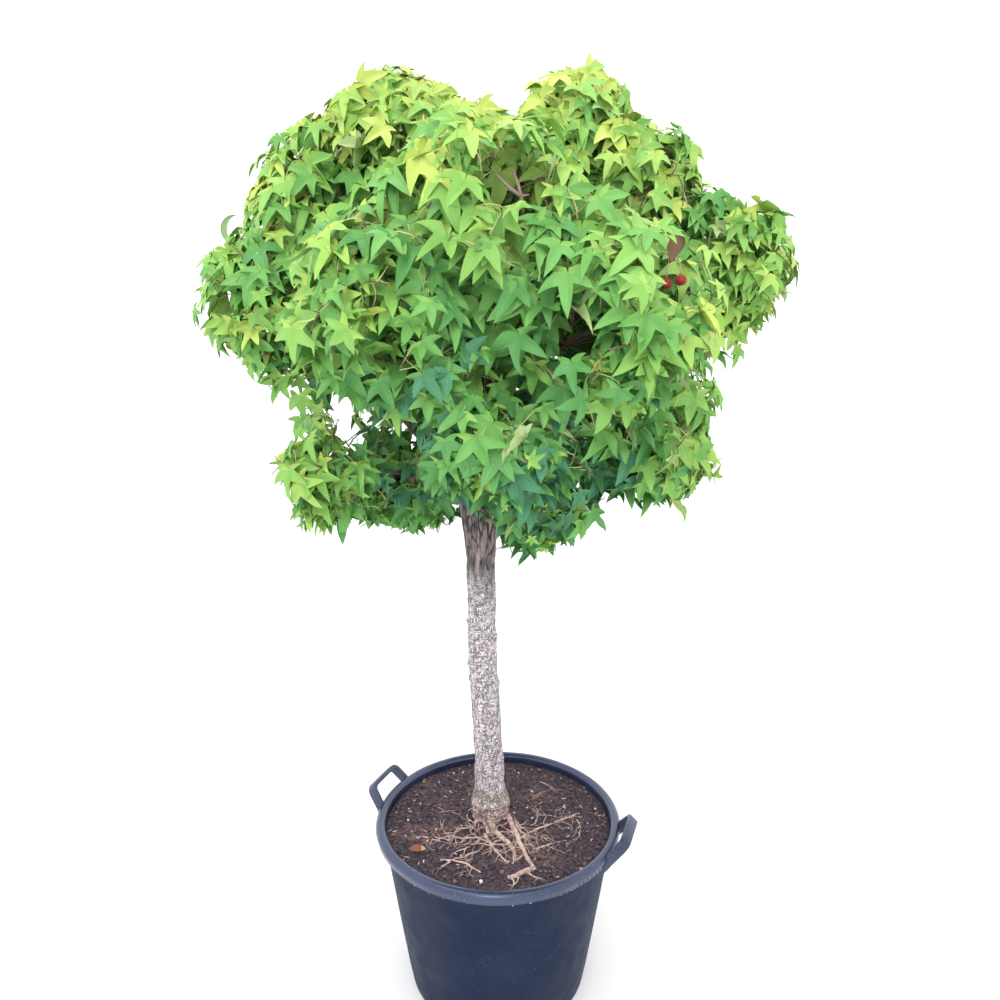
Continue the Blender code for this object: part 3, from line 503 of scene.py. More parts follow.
class Shape:
    """Vertices and faces of one piece, gathered before they become an object."""

    def __init__(self) -> None:
        """Start with no faces."""
        self.points: Path = []
        self.faces: list[tuple[int, ...]] = []
        self.slots: list[int] = []

    def add(self, points: Iterable[Vector], faces: Iterable[Sequence[int]], slot: int = 0) -> None:
        """Add a body's points and faces, in the material of a slot."""
        base = len(self.points)
        self.points += list(points)
        for face in faces:
            self.faces.append(tuple(base + corner for corner in face))
            self.slots.append(slot)

    def tube(self, path: Path, radii: Sequence[float], sides: int, slot: int = 0,
             wobble: Callable[[Vector, float], float] | None = None) -> None:
        """Loft a closed tube along a path.

        Args:
            path: The tube's middle line.
            radii: Its radius at each point of the path.
            sides: Number of its sides.
            slot: Its material.
            wobble: Gives a factor on the radius at a place and an angle.
        """
        points = []
        side = None
        for index, middle in enumerate(path):
            tangent = (path[min(index + 1, len(path) - 1)] - path[max(index - 1, 0)]).normalized()
            if side is None:
                side = tangent.cross(UP if abs(tangent.z) < 0.9 else Vector((1, 0, 0))).normalized()
            else:
                side = (side - tangent * side.dot(tangent)).normalized()
            other = tangent.cross(side)
            for turn in range(sides):
                angle = math.tau * turn / sides
                radius = radii[index]
                ray = side * math.cos(angle) + other * math.sin(angle)
                if wobble:
                    radius *= wobble(middle + ray * radius, angle)
                points.append(middle + ray * radius)
        faces = [tuple(reversed(range(sides)))]
        for ring in range(len(path) - 1):
            low, high = ring * sides, (ring + 1) * sides
            for turn in range(sides):
                after = (turn + 1) % sides
                faces.append((low + turn, low + after, high + after, high + turn))
        faces.append(tuple(range((len(path) - 1) * sides, len(path) * sides)))
        self.add(points, faces, slot)

    def pebble(self, middle: Vector, size: Vector, dice: random.Random, slot: int = 0) -> None:
        """Add a lump with eighteen corners, uneven and turned at random.

        Args:
            middle: Where it lies.
            size: Its three half sizes.
            dice: Source of its unevenness.
            slot: Its material.
        """
        turn = Matrix.Rotation(dice.uniform(0, math.tau), 3, "Z") @ Matrix.Rotation(dice.uniform(-0.5, 0.5), 3, "X")
        points = [Vector((0, 0, -1))]
        for height, reach in ((-0.55, 0.75), (0.15, 1.0), (0.72, 0.6)):
            for corner in range(5):
                angle = math.tau * (corner + height) / 5
                points.append(Vector((reach * math.cos(angle), reach * math.sin(angle), height)))
        points.append(Vector((0, 0, 1)))
        placed = []
        for point in points:
            uneven = 1.0 + dice.uniform(-0.22, 0.22)
            placed.append(middle + turn @ Vector((point.x * size.x, point.y * size.y, point.z * size.z)) * uneven)
        faces = []
        for corner in range(5):
            after = (corner + 1) % 5
            faces.append((0, 1 + after, 1 + corner))
            faces.append((1 + corner, 1 + after, 6 + after, 6 + corner))
            faces.append((6 + corner, 6 + after, 11 + after, 11 + corner))
            faces.append((11 + corner, 11 + after, 16))
        self.add(placed, faces, slot)

    def build(self, name: str, finishes: Sequence[PlainFinish | bpy.types.Material], sharp: float = 180.0) -> bpy.types.Object:
        """Make the piece's object, shaded smooth.

        Args:
            name: The object's name.
            finishes: Plain finishes or materials, one for each slot.
            sharp: Angle in degrees above which an edge stays sharp.

        Returns:
            The object.
        """
        mesh = bpy.data.meshes.new(name)
        mesh.from_pydata([tuple(point) for point in self.points], [], self.faces)
        for finish in finishes:
            mesh.materials.append(finish.material() if isinstance(finish, PlainFinish) else finish)
        mesh.polygons.foreach_set("material_index", self.slots)
        return place_mesh(mesh, sharp)


def place_mesh(mesh: bpy.types.Mesh, sharp: float = 180.0) -> bpy.types.Object:
    """Put a mesh in the scene as an object of its name, shaded smooth up to an angle."""
    mesh.shade_smooth()
    if sharp < 180.0:
        mesh.set_sharp_from_angle(angle=math.radians(sharp))
    obj = bpy.data.objects.new(mesh.name, mesh)
    bpy.context.scene.collection.objects.link(obj)
    return obj


def hand_over(obj: bpy.types.Object, nodes: Iterable[str] = ()) -> None:
    """Let a piece ride on the tree, hide the model parts that it stands in for, and log it."""
    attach(obj, BODY)
    if nodes:
        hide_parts(*nodes)
    log.info("%s: %d faces", obj.name, len(obj.data.polygons))


def apply_modifiers(obj: bpy.types.Object) -> None:
    """Replace an object's mesh by its evaluated mesh."""
    graph = bpy.context.evaluated_depsgraph_get()
    evaluated = bpy.data.meshes.new_from_object(obj.evaluated_get(graph), depsgraph=graph)
    name = obj.data.name
    obj.modifiers.clear()
    obj.data = evaluated
    evaluated.name = name


# The tub


@dataclass
class Tub:
    """A round tub with a rolled rim, drain holes and two strap handles."""

    height: float = 0.386
    base_radius: float = 0.197
    slope: float = 0.154
    wall: float = 0.004
    floor: float = 0.006
    corner: float = 0.012
    rim_radius: float = 0.259
    rim_tube: float = 0.011
    skirt: float = 0.0225
    sides: int = 160
    drains: int = 6
    drain_radius: float = 0.009
    drain_circle: float = 0.155
    drain_phase: float = 0.57
    bearings: dict[str, float] = field(default_factory=lambda: {"handle_left": 159.0, "handle_right": -20.5})
    plastic: TubPlastic = TubPlastic()

    def wall_radius(self, height: float) -> float:
        """Radius of the outer wall at a height."""
        return self.base_radius + self.slope * height

    def inner_radius(self, height: float) -> float:
        """Radius of the inner wall at a height."""
        return self.wall_radius(height) - self.wall

    def profile(self) -> list[tuple[float, float]]:
        """Closed profile of the shell, from the underside round the rim to the inner floor."""
        rim = self.height - self.rim_tube
        skirt = self.height - self.skirt
        line = [(0.0, 0.0), (self.base_radius - 3 * self.corner, 0.0)]
        line += arc((self.base_radius - self.corner, self.corner), self.corner, -90, -8, 6)
        for step in range(1, 9):
            height = blend(self.corner, skirt, step / 8.0)
            line.append((self.wall_radius(height), height))
        line.append((self.wall_radius(skirt + 0.004) + 0.0012, skirt + 0.004))
        line.append((self.rim_radius + self.rim_tube - 0.0052, skirt + 0.0030))
        line.append((self.rim_radius + self.rim_tube - 0.0040, skirt))
        line.append((self.rim_radius + self.rim_tube - 0.0022, skirt - 0.0002))
        line += arc((self.rim_radius, rim), self.rim_tube, -28, 182, 15)
        line.append((self.inner_radius(rim - self.rim_tube), rim - self.rim_tube))
        for step in range(1, 7):
            height = blend(rim - self.rim_tube, self.floor + self.corner, step / 6.0)
            line.append((self.inner_radius(height), height))
        line.append((self.inner_radius(self.floor) - self.corner, self.floor))
        line.append((0.0, self.floor))
        return line

    def shell(self) -> bpy.types.Object:
        """Turn the profile, cut the drain holes and give the object."""
        line = self.profile()
        shape = Shape()
        points = [Vector((0, 0, line[0][1]))]
        for radius, height in line[1:-1]:
            for side in range(self.sides):
                bearing = math.tau * side / self.sides
                drift = 0.0006 * noise.noise(polar(6.0, bearing, height * 9.0))
                points.append(polar(radius + drift, bearing, height))
        points.append(Vector((0, 0, line[-1][1])))
        faces = []
        last = len(points) - 1
        for side in range(self.sides):
            after = (side + 1) % self.sides
            faces.append((0, 1 + after, 1 + side))
            for ring in range(len(line) - 3):
                low = 1 + ring * self.sides
                high = low + self.sides
                faces.append((low + side, low + after, high + after, high + side))
            low = last - self.sides
            faces.append((low + side, low + after, last))
        shape.add(points, faces)
        tub = shape.build("tub", [self.plastic.material(), RIM_PLASTIC.material()], 38.0)
        for polygon in tub.data.polygons:
            polygon.material_index = int(polygon.center.z > self.height - self.skirt - 0.0005)
        drills = Shape()
        for hole in range(self.drains):
            place = polar(self.drain_circle, math.tau * (hole + self.drain_phase) / self.drains, 0.0)
            ends = [place - UP * self.floor, place + UP * 2 * self.floor]
            drills.tube(ends, [self.drain_radius] * 2, 20)
        drill = drills.build("drills", [])
        cut = tub.modifiers.new("drains", "BOOLEAN")
        cut.operation = "DIFFERENCE"
        cut.object = drill
        apply_modifiers(tub)
        bpy.data.objects.remove(drill, do_unlink=True)
        return tub

    def flash(self) -> bpy.types.Object:
        """The ragged edge that moulding left under the rim, and small ribs near the handles."""
        dice = random.Random(31)
        shape = Shape()
        low = self.height - self.skirt
        edge = self.rim_radius + self.rim_tube - 0.0030
        count = 150
        for index in range(count):
            bearing = math.tau * (index + dice.uniform(-0.3, 0.3)) / count
            length = dice.uniform(0.002, 0.010)
            drop = 0.0010 + 0.0035 * dice.random() ** 3
            wide = length / edge
            points = []
            for turn, depth in ((-0.5, 0.0), (-0.2, drop * 0.8), (0.1, drop), (0.5, 0.0)):
                for radius in (edge, edge + 0.0007):
                    points.append(polar(radius, bearing + wide * turn, low + 0.0004 - depth))
            faces = [(0, 2, 4, 6), (1, 7, 5, 3), (0, 1, 3, 2), (2, 3, 5, 4), (4, 5, 7, 6), (6, 7, 1, 0)]
            shape.add(points, faces, 1 if dice.random() < 0.25 else 0)
        for bearing in self.bearings.values():
            for rib in range(-7, 8):
                angle = math.radians(bearing) + rib * 0.045 + math.copysign(0.26, rib)
                path = [polar(edge + 0.0022, angle, low + 0.001), polar(edge + 0.0031, angle, low + 0.009)]
                shape.tube(path, [0.0008, 0.0005], 4)
        light = PlainFinish("flash_light", (0.30, 0.32, 0.38), 0.45)
        return shape.build("rim_flash", [PlainFinish("flash_dark", (0.045, 0.055, 0.085), 0.4), light])

    def handle(self, name: str, bearing: float, material: bpy.types.Material) -> bpy.types.Object:
        """A strap handle that leans out and up from the rim.

        Args:
            name: The node that it replaces.
            bearing: Where it sits round the rim, in degrees.
            material: Its plastic.

        Returns:
            The object.
        """
        outline = StrapHandle().outline()
        out = Vector((0.64, 0.0, 0.77)).normalized()
        along = Vector((0.0, 1.0, 0.0))
        across = along.cross(out)
        foot = Vector((0.262, 0.0, 0.370))
        turn = Matrix.Rotation(math.radians(bearing), 3, "Z")
        points = []
        for face_side in (-0.5, 0.5):
            for distance, rise in outline:
                width = StrapHandle.width * face_side
                points.append(turn @ (foot + along * distance + out * rise + across * width))
        count = len(outline)
        faces = [tuple(range(count)), tuple(reversed(range(count, 2 * count)))]
        for index in range(count):
            after = (index + 1) % count
            faces.append((index, index + count, after + count, after))
        shape = Shape()
        shape.add(points, faces)
        handle = shape.build(name + "_strap", [material])
        bevel = handle.modifiers.new("rounded", "BEVEL")
        bevel.width = 0.0024
        bevel.segments = 3
        bevel.limit_method = "ANGLE"
        bevel.angle_limit = math.radians(50)
        apply_modifiers(handle)
        handle.data.shade_smooth()
        handle.data.set_sharp_from_angle(angle=math.radians(40))
        return handle

    def build(self) -> None:
        """Make the shell, its moulding flash and both handles."""
        shell = self.shell()
        hand_over(shell, ["pot"])
        hand_over(self.flash())
        material = GRIP_PLASTIC.material()
        for name, bearing in self.bearings.items():
            hand_over(self.handle(name, bearing, material), [name])


@dataclass
class StrapHandle:
    """Sizes of one strap handle's outline."""

    width = 0.022
    half_span: float = 0.060
    reach: float = 0.050
    thickness: float = 0.010
    foot_drop: float = 0.030
    foot_splay: float = 0.012
    rounding: float = 0.022

    def outline(self) -> list[tuple[float, float]]:
        """Outline of the strap as pairs of a distance along the rim and a rise from it."""
        span, thick, reach = self.half_span, self.thickness, self.reach
        half = []
        half += [(span - thick / 2, -self.foot_drop), (span + self.foot_splay, -self.foot_drop)]
        half += [(span + self.foot_splay - 0.001, -self.foot_drop + 0.010), (span + thick / 2 + 0.004, -0.006)]
        half += [(span + thick / 2, 0.002)]
        outer = (span - 0.002 - self.rounding, reach + thick / 2 - self.rounding)
        half += arc(outer, self.rounding, 12, 84, 4)
        inner_round = 0.012
        inner = (span - thick - 0.002 - inner_round, reach - thick / 2 - inner_round)
        inside = arc(inner, inner_round, 84, 6, 3) + [(span - thick / 2, 0.004)]
        mirrored = [(-x, y) for x, y in reversed(half)]
        return half + mirrored + [(-x, y) for x, y in reversed(inside)] + inside


# The soil, its crumbs and the bared roots


@dataclass
class SoilBed:
    """Soil that fills the tub, with crumbs, granules and a fallen leaf on it."""

    tub: Tub
    top: float = 0.369
    edge_drop: float = 0.004
    cells: int = 170
    crumbs: int = 1500
    granules: int = 34
    chips: int = 170

    def radius(self) -> float:
        """Radius of the soil's surface, just inside the wall."""
        return self.tub.inner_radius(self.top - self.edge_drop) - 0.0005

    def height(self, x: float, y: float) -> float:
        """Height of the soil's uneven surface."""
        reach = math.hypot(x, y) / self.radius()
        place = Vector((x, y, 0.0))
        broad = 0.0028 * noise.noise(place * 16.0)
        clods = 0.0030 * abs(noise.noise(place * 75.0 + Vector((7, 0, 0)))) + 0.0014 * noise.noise(place * 210.0)
        rise = 0.004 * math.exp(-((x + 0.018) ** 2 + (y - 0.012) ** 2) / 0.006)
        return self.top + (broad + clods) * (1.0 - 0.6 * reach ** 8) + rise - self.edge_drop * reach ** 6 - 0.0005

    def bed(self) -> bpy.types.Object:
        """The soil as one closed body with a crumbly top."""
        count = self.cells
        outer = self.radius()
        points = []
        for row in range(count + 1):
            for column in range(count + 1):
                u, v = 2.0 * column / count - 1.0, 2.0 * row / count - 1.0
                x = outer * u * math.sqrt(1.0 - v * v / 2.0)
                y = outer * v * math.sqrt(1.0 - u * u / 2.0)
                points.append(Vector((x, y, self.height(x, y))))
        faces = []
        for row in range(count):
            for column in range(count):
                corner = row * (count + 1) + column
                faces.append((corner, corner + 1, corner + count + 2, corner + count + 1))
        rim = [column for column in range(count)]
        rim += [row * (count + 1) + count for row in range(count)]
        rim += [count * (count + 1) + count - column for column in range(count)]
        rim += [(count - row) * (count + 1) for row in range(count)]
        rings = [rim]
        for height in (0.30, 0.15, 0.019, 0.0063):
            inner = self.tub.inner_radius(height) - 0.0006 - (self.tub.corner if height < 0.01 else 0.0)
            start = len(points)
            for corner in rim:
                flat = Vector((points[corner].x, points[corner].y, 0.0)).normalized() * inner
                points.append(Vector((flat.x, flat.y, height)))
            rings.append(list(range(start, start + len(rim))))
        for upper, lower in zip(rings, rings[1:]):
            for index in range(len(rim)):
                after = (index + 1) % len(rim)
                faces.append((upper[after], upper[index], lower[index], lower[after]))
        faces.append(tuple(reversed(rings[-1])))
        shape = Shape()
        shape.add(points, faces)
        return shape.build("soil_bed", [Soil().material()])

    def scatter(self, dice: random.Random, reach: float = 0.97) -> Vector:
        """A random place on the soil's surface."""
        place = polar(self.radius() * reach * math.sqrt(dice.random()), dice.uniform(0, math.tau), 0.0)
        place.z = self.height(place.x, place.y)
        return place

    def litter(self) -> bpy.types.Object:
        """Crumbs, bark chips, pale slivers and white granules that lie on the soil."""
        dice = random.Random(12)
        shape = Shape()
        for _ in range(self.crumbs):
            size = 0.0012 + 0.0042 * dice.random() ** 3
            slot = dice.choices((0, 1, 2), (5, 6, 2))[0]
            half = Vector((size * dice.uniform(0.8, 1.3), size, size * dice.uniform(0.5, 0.8)))
            shape.pebble(self.scatter(dice) + UP * size * 0.25, half, dice, slot)
        for _ in range(self.chips):
            length = dice.uniform(0.002, 0.008)
            half = Vector((length, dice.uniform(0.0006, 0.0016), 0.0006))
            shape.pebble(self.scatter(dice) + UP * 0.001, half, dice, dice.choice((2, 3, 3)))
        for _ in range(self.granules):
            size = dice.uniform(0.0012, 0.0028)
            shape.pebble(self.scatter(dice, 0.99) + UP * size * 0.5, Vector((size, size, size * 0.8)), dice, 4)
        for place, size in (((-0.033, -0.2105), 0.0050), ((0.170, -0.172), 0.0058), ((0.105, -0.218), 0.0030)):
            middle = Vector((*place, self.height(*place) + size * 0.5))
            shape.pebble(middle, Vector((size, size * 0.8, size * 0.7)), dice, 4)
        return shape.build("soil_litter", [CRUMB_DARK, CRUMB_BROWN, CRUMB_RED, CHIP_PALE, GRANULE], 35.0)

    def fallen_leaf(self) -> bpy.types.Object:
        """A small leaf turned red and yellow that lies near the rim at the left."""
        shape = Shape()
        middle = Vector((-0.168, -0.118, self.top + 0.005))
        along = Vector((0.93, 0.10, 0.02)).normalized()
        rows = 9
        points = []
        for row in range(rows):
            share = row / (rows - 1)
            wide = 0.0085 * math.sin(math.pi * min(max(share, 0.04), 0.97)) ** 0.7
            across = Vector((-0.1, 0.93, 0.30)).normalized()
            spine = middle + along * (0.034 * (share - 0.5)) + UP * 0.003 * math.sin(3.0 * share + 0.4)
            for step in (-1.0, -0.5, 0.0, 0.5, 1.0):
                points.append(spine + across * wide * step + UP * 0.0024 * step * step)
        for slot, first, last in ((0, 0, 6), (1, 6, rows - 1)):
            faces = []
            for row in range(first, last):
                for column in range(4):
                    corner = row * 5 + column
                    faces.append((corner, corner + 1, corner + 6, corner + 5))
            shape.add(points, faces, slot)
        return shape.build("fallen_leaf", [FALLEN_RED, FALLEN_YELLOW])

    def build(self) -> None:
        """Make the bed and what lies on it."""
        hand_over(self.bed(), ["soil"])
        hand_over(self.litter())
        hand_over(self.fallen_leaf())


@dataclass
class BaredRoots:
    """Fine roots that rain has bared in front of the trunk."""

    soil: SoilBed
    strands: int = 52
    step: float = 0.006
    routes: tuple[tuple[float, tuple[tuple[float, float], ...]], ...] = (
        (0.0062, ((0.022, 0.000), (0.036, -0.047), (0.048, -0.100), (0.0656, -0.153), (0.072, -0.172))),
        (0.0058, ((0.072, -0.172), (0.052, -0.186), (0.028, -0.196), (0.020, -0.199))),
        (0.0034, ((-0.030, -0.060), (-0.0103, -0.1084), (0.006, -0.132), (0.0207, -0.153))),
        (0.0026, ((0.045, -0.080), (0.085, -0.038), (0.118, -0.022), (0.1857, 0.0196))),
        (0.0022, ((0.080, -0.110), (0.110, -0.092), (0.146, -0.080))),
        (0.0024, ((-0.117, -0.146), (-0.072, -0.149), (-0.055, -0.164), (-0.034, -0.184))),
        (0.0020, ((-0.114, -0.164), (-0.085, -0.140), (-0.055, -0.128), (-0.030, -0.100))),
        (0.0021, ((-0.178, -0.068), (-0.150, -0.070), (-0.125, -0.078))),
        (0.0022, ((-0.090, -0.075), (-0.045, -0.072), (-0.010, -0.096), (0.022, -0.092))),
        (0.0013, ((0.176, -0.005), (0.180, -0.030), (0.176, -0.066))),
        (0.0011, ((0.100, 0.150), (0.128, 0.128), (0.140, 0.112))),
    )

    def ground(self, place: Vector, lift: float) -> Vector:
        """A place moved to a height above the soil under it."""
        return Vector((place.x, place.y, self.soil.height(place.x, place.y) + lift))

    def strand(self, shape: Shape, start: Vector, heading: float, length: float, radius: float,
               dice: random.Random, forks: int) -> None:
        """One root that wanders over the soil and forks.

        Args:
            shape: Where its tube goes.
            start: Its first point.
            heading: Its first bearing in radians.
            length: How far it runs.
            radius: Its first radius.
            dice: Source of its bends.
            forks: How many times it may fork again.
        """
        path = []
        place = start.copy()
        steps = max(4, round(length / self.step))
        arch = dice.uniform(0.0, 0.010) if dice.random() < 0.5 else 0.001
        bend = 0.0
        for index in range(steps + 1):
            share = index / steps
            lift = radius * 0.6 + arch * math.sin(math.pi * share)
            path.append(self.ground(place, lift))
            bend = 0.55 * bend + dice.uniform(-0.30, 0.30)
            heading += bend
            place = place + polar(self.step, heading, 0.0)
            if math.hypot(place.x, place.y) > 0.236:
                break
            if forks and 0.2 < share < 0.85 and dice.random() < 0.16:
                turn = dice.choice((-1, 1)) * dice.uniform(0.5, 1.0)
                rest = length * (1.0 - share) * dice.uniform(0.4, 0.9)
                self.strand(shape, place.copy(), heading + turn, rest, radius * 0.65, dice, forks - 1)
        if len(path) > 2:
            last = len(path) - 1
            radii = [max(radius * (1.0 - 0.72 * index / last), 0.0004) for index in range(last + 1)]
            shape.tube(path, radii, 5)

    def build(self) -> None:
        """Make the routed roots, then the tangle about them."""
        dice = random.Random(8)
        shape = Shape()
        for radius, places in self.routes:
            path = []
            runs = 6
            for first, second in zip(places, places[1:]):
                for run in range(runs):
                    place = Vector((*first, 0.0)).lerp(Vector((*second, 0.0)), run / runs)
                    path.append(place)
            path.append(Vector((*places[-1], 0.0)))
            smoothed = [path[0]] + [(a + b * 2 + c) / 4 for a, b, c in zip(path, path[1:], path[2:])] + [path[-1]]
            last = len(smoothed) - 1
            radii = [radius * (1.0 - 0.45 * index / last) for index in range(last + 1)]
            line = []
            for point, size in zip(smoothed, radii):
                sway = 0.004 * noise.noise(point * 40.0 + Vector((radius * 900, 0, 0)))
                line.append(self.ground(point + Vector((sway, -sway, 0)), size * 0.55))
            shape.tube(line, radii, 8, 0, lambda place, angle: 1.0 + 0.22 * noise.noise(place * 130.0))
            for _ in range(3):
                begin = dice.choice(line[3:-2])
                self.strand(shape, begin, dice.uniform(-2.6, -0.4), dice.uniform(0.02, 0.05), radius * 0.4, dice, 1)
        for _ in range(self.strands):
            bearing = math.radians(dice.choice((dice.gauss(-75, 28), dice.gauss(-120, 24), dice.gauss(-40, 22))))
            start = Vector((-0.018, 0.012, 0.0)) + polar(dice.uniform(0.036, 0.125), bearing, 0.0)
            heading = bearing + dice.uniform(-1.5, 1.5)
            self.strand(shape, start, heading, dice.uniform(0.03, 0.095), dice.uniform(0.0007, 0.0016), dice, 2)
        hand_over(shape.build("bared_roots", [RootSkin().material()]))


# The trunk


@dataclass
class Trunk:
    """The clear stem, with its lean, root flare, burr, relief and domed graft head."""

    foot: Vector = field(default_factory=lambda: Vector((-0.018, 0.012, 0.3693)))
    head: Vector = field(default_factory=lambda: Vector((-0.042, 0.0, 1.105)))
    sway: float = 0.0025
    stem_radius: float = 0.0300
    foot_swell: float = 0.0035
    foot_swell_height: float = 0.20
    burr: float = 0.0105
    burr_height: float = 0.030
    burr_spread: float = 0.032
    head_swell: float = 0.0115
    head_swell_from: float = 0.96
    head_dome: float = 0.045
    flare_lobes: int = 5
    flare_depth: float = 0.10
    flare_height: float = 0.03
    sides: int = 150
    rings: int = 400
    roots: tuple[tuple[float, float, float], ...] = (
        (-72, 0.145, 0.0085), (-102, 0.095, 0.0050), (-38, 0.100, 0.0052), (-140, 0.070, 0.0042))
    knots: tuple[tuple[float, float], ...] = ((188, 0.735), (176, 0.700), (4, 0.690), (-8, 0.800), (172, 0.830), (-60, 0.9))

    def point(self, share: float) -> Vector:
        """Middle of the trunk at a share of the way from its foot to its head."""
        point = self.foot.lerp(self.head, share)
        sway = self.sway * math.sin(share * math.tau * 1.4)
        return point + Vector((sway, sway * 0.6, 0.0))

    def radius(self, height: float) -> float:
        """Girth of the stem at a height."""
        foot = height - self.foot.z
        radius = self.stem_radius + self.foot_swell * math.exp(-foot / self.foot_swell_height)
        radius += self.burr * math.exp(-((foot - self.burr_height) / self.burr_spread) ** 2)
        return radius + self.head_swell * smooth((height - self.head_swell_from) / (self.head.z - self.head_swell_from))

    def relief(self, place: Vector, height: float, angle: float) -> tuple[float, float, float, float]:
        """Relief of the bark at a place.

        Args:
            place: The place on the smooth stem.
            height: Its height above the foot.
            angle: Its bearing round the stem in radians.

        Returns:
            How far the bark stands out, then the crack, head and foot values that colour it.
        """
        share = height / (self.head.z - self.foot.z)
        head = smooth((share - 0.68) / 0.17 + 0.35 * noise.noise(place * 22.0))
        upright = abs(noise.noise(Vector((place.x * 210.0, place.y * 210.0, place.z * 60.0))))
        level = abs(noise.noise(Vector((place.x * 34.0, place.y * 34.0, place.z * 190.0))))
        furrow = abs(noise.noise(Vector((place.x * 95.0, place.y * 95.0, place.z * 20.0))))
        patch = smooth(0.5 + 1.4 * noise.noise(place * 34.0))
        flakes = max(1.0 - upright / 0.11, (1.0 - level / 0.07) * blend(0.9, 0.4, patch), 0.0)
        crack = blend(smooth(flakes) * blend(0.55, 1.0, patch), smooth(1.0 - furrow / 0.20), head)
        bands = noise.noise(Vector((place.x * 14.0, place.y * 14.0, place.z * 105.0)))
        stand = -blend(0.0010, 0.0030, head) * crack + 0.0010 * bands * (1.0 - head)
        stand += 0.0022 * noise.noise(place * 26.0) + 0.0007 * noise.noise(place * 240.0)
        burr = math.exp(-((height - self.burr_height) / (self.burr_spread * 0.9)) ** 2) if height > 0 else 1.0
        stand += burr * (0.0075 * abs(noise.noise(place * 58.0)) + 0.0030 * noise.noise(place * 150.0) - 0.0030)
        for bearing, knot_height in self.knots:
            off = (angle - math.radians(bearing) + math.pi) % math.tau - math.pi
            reach = math.hypot(off * 0.03, place.z - knot_height)
            stand += 0.0034 * math.exp(-(reach / 0.0065) ** 2)
        foot = math.exp(-max(height - 0.035, 0.0) / 0.030)
        return stand, crack * (1.0 - 0.5 * burr), head, foot

    def stem(self) -> bpy.types.Object:
        """The stem's mesh with the values that colour its bark."""
        shape = Shape()
        points: Path = []
        colours: list[tuple[float, float, float, float]] = []
        levels = []
        for ring in range(self.rings + 1):
            share = -0.02 + 1.02 * ring / self.rings
            middle = self.point(share)
            levels.append((middle, self.radius(max(middle.z, self.foot.z))))
        top_middle, top_radius = levels[-1]
        for step in range(1, 15):
            angle = math.radians(6.2 * step)
            levels.append((top_middle + UP * self.head_dome * math.sin(angle), top_radius * math.cos(angle)))
        for middle, radius in levels:
            height = middle.z - self.foot.z
            for side in range(self.sides):
                angle = math.tau * side / self.sides
                flare = 1.0 + self.flare_depth * math.cos(self.flare_lobes * angle + 0.6) * math.exp(
                    -max(height, 0.0) / self.flare_height)
                place = middle + polar(radius * flare, angle, 0.0)
                stand, crack, head, foot = self.relief(place, height, angle)
                points.append(place + polar(stand * min(radius / 0.02, 1.0), angle, 0.0))
                colours.append((crack, head, foot, 1.0))
        faces = [tuple(reversed(range(self.sides)))]
        for ring in range(len(levels) - 1):
            low, high = ring * self.sides, (ring + 1) * self.sides
            for side in range(self.sides):
                after = (side + 1) % self.sides
                faces.append((low + side, low + after, high + after, high + side))
        faces.append(tuple(range((len(levels) - 1) * self.sides, len(levels) * self.sides)))
        shape.add(points, faces)
        stem = shape.build("stem", [TrunkBark().material()])
        layer = stem.data.color_attributes.new("bark", "FLOAT_COLOR", "POINT")
        layer.data.foreach_set("color", np.array(colours, dtype=np.float32).ravel())
        return stem

    def root_collar(self) -> bpy.types.Object:
        """The roots that leave the burr and lie half sunk in the soil."""
        shape = Shape()
        for bearing, length, radius in self.roots:
            heading = math.radians(bearing)
            out = polar(1.0, heading, 0.0)
            side = Vector((-out.y, out.x, 0.0))
            path = []
            radii = []
            for ring in range(25):
                share = ring / 24
                lift = 0.55 * radius * (1.0 - share) ** 2
                sway = 0.010 * math.sin(share * 6.0 + bearing)
                path.append(self.foot + out * (0.02 + length * share) + side * sway + UP * lift)
                radii.append(radius * (1.0 - 0.62 * share))
            shape.tube(path, radii, 12, 0, lambda place, angle: 1.0 + 0.20 * noise.noise(place * 110.0))
        return shape.build("root_collar", [RootSkin(name="root_bark", clean=(0.30, 0.22, 0.18)).material()])

    def build(self) -> None:
        """Make the stem and the roots at its foot."""
        hand_over(self.stem(), ["trunk"])
        hand_over(self.root_collar())


# The crown's plan: masses of leaves and the boughs that reach them


CROWN_MIDDLE = Vector((-0.02, 0.0, 1.44))
DEPTH_BULGE = 1.22

MASSES: dict[str, tuple[Colour, float]] = {
    "top_left": ((-0.183, -0.020, 1.763), 0.157),
    "top_right": ((0.144, 0.030, 1.776), 0.162),
    "upper_left": ((-0.344, 0.020, 1.663), 0.156),
    "upper_right": ((0.271, -0.020, 1.668), 0.144),
    "side_left": ((-0.435, -0.050, 1.490), 0.139),
    "side_right": ((0.439, -0.040, 1.547), 0.144),
    "lower_left": ((-0.322, -0.105, 1.168), 0.122),
    "lower_right": ((0.299, -0.100, 1.233), 0.136),
    "under_left": ((-0.192, 0.070, 1.131), 0.136),
    "under_right": ((0.056, -0.150, 1.131), 0.121),
    "front_top": ((-0.020, -0.300, 1.600), 0.171),
    "front_left": ((-0.187, -0.310, 1.461), 0.163),
    "front_right": ((0.188, -0.310, 1.443), 0.172),
    "front_low": ((0.001, -0.250, 1.265), 0.155),
    "back_top": ((0.010, 0.300, 1.620), 0.176),
    "back_left": ((-0.225, 0.300, 1.430), 0.170),
    "back_right": ((0.220, 0.300, 1.440), 0.175),
    "back_low": ((0.030, 0.240, 1.240), 0.160),
}

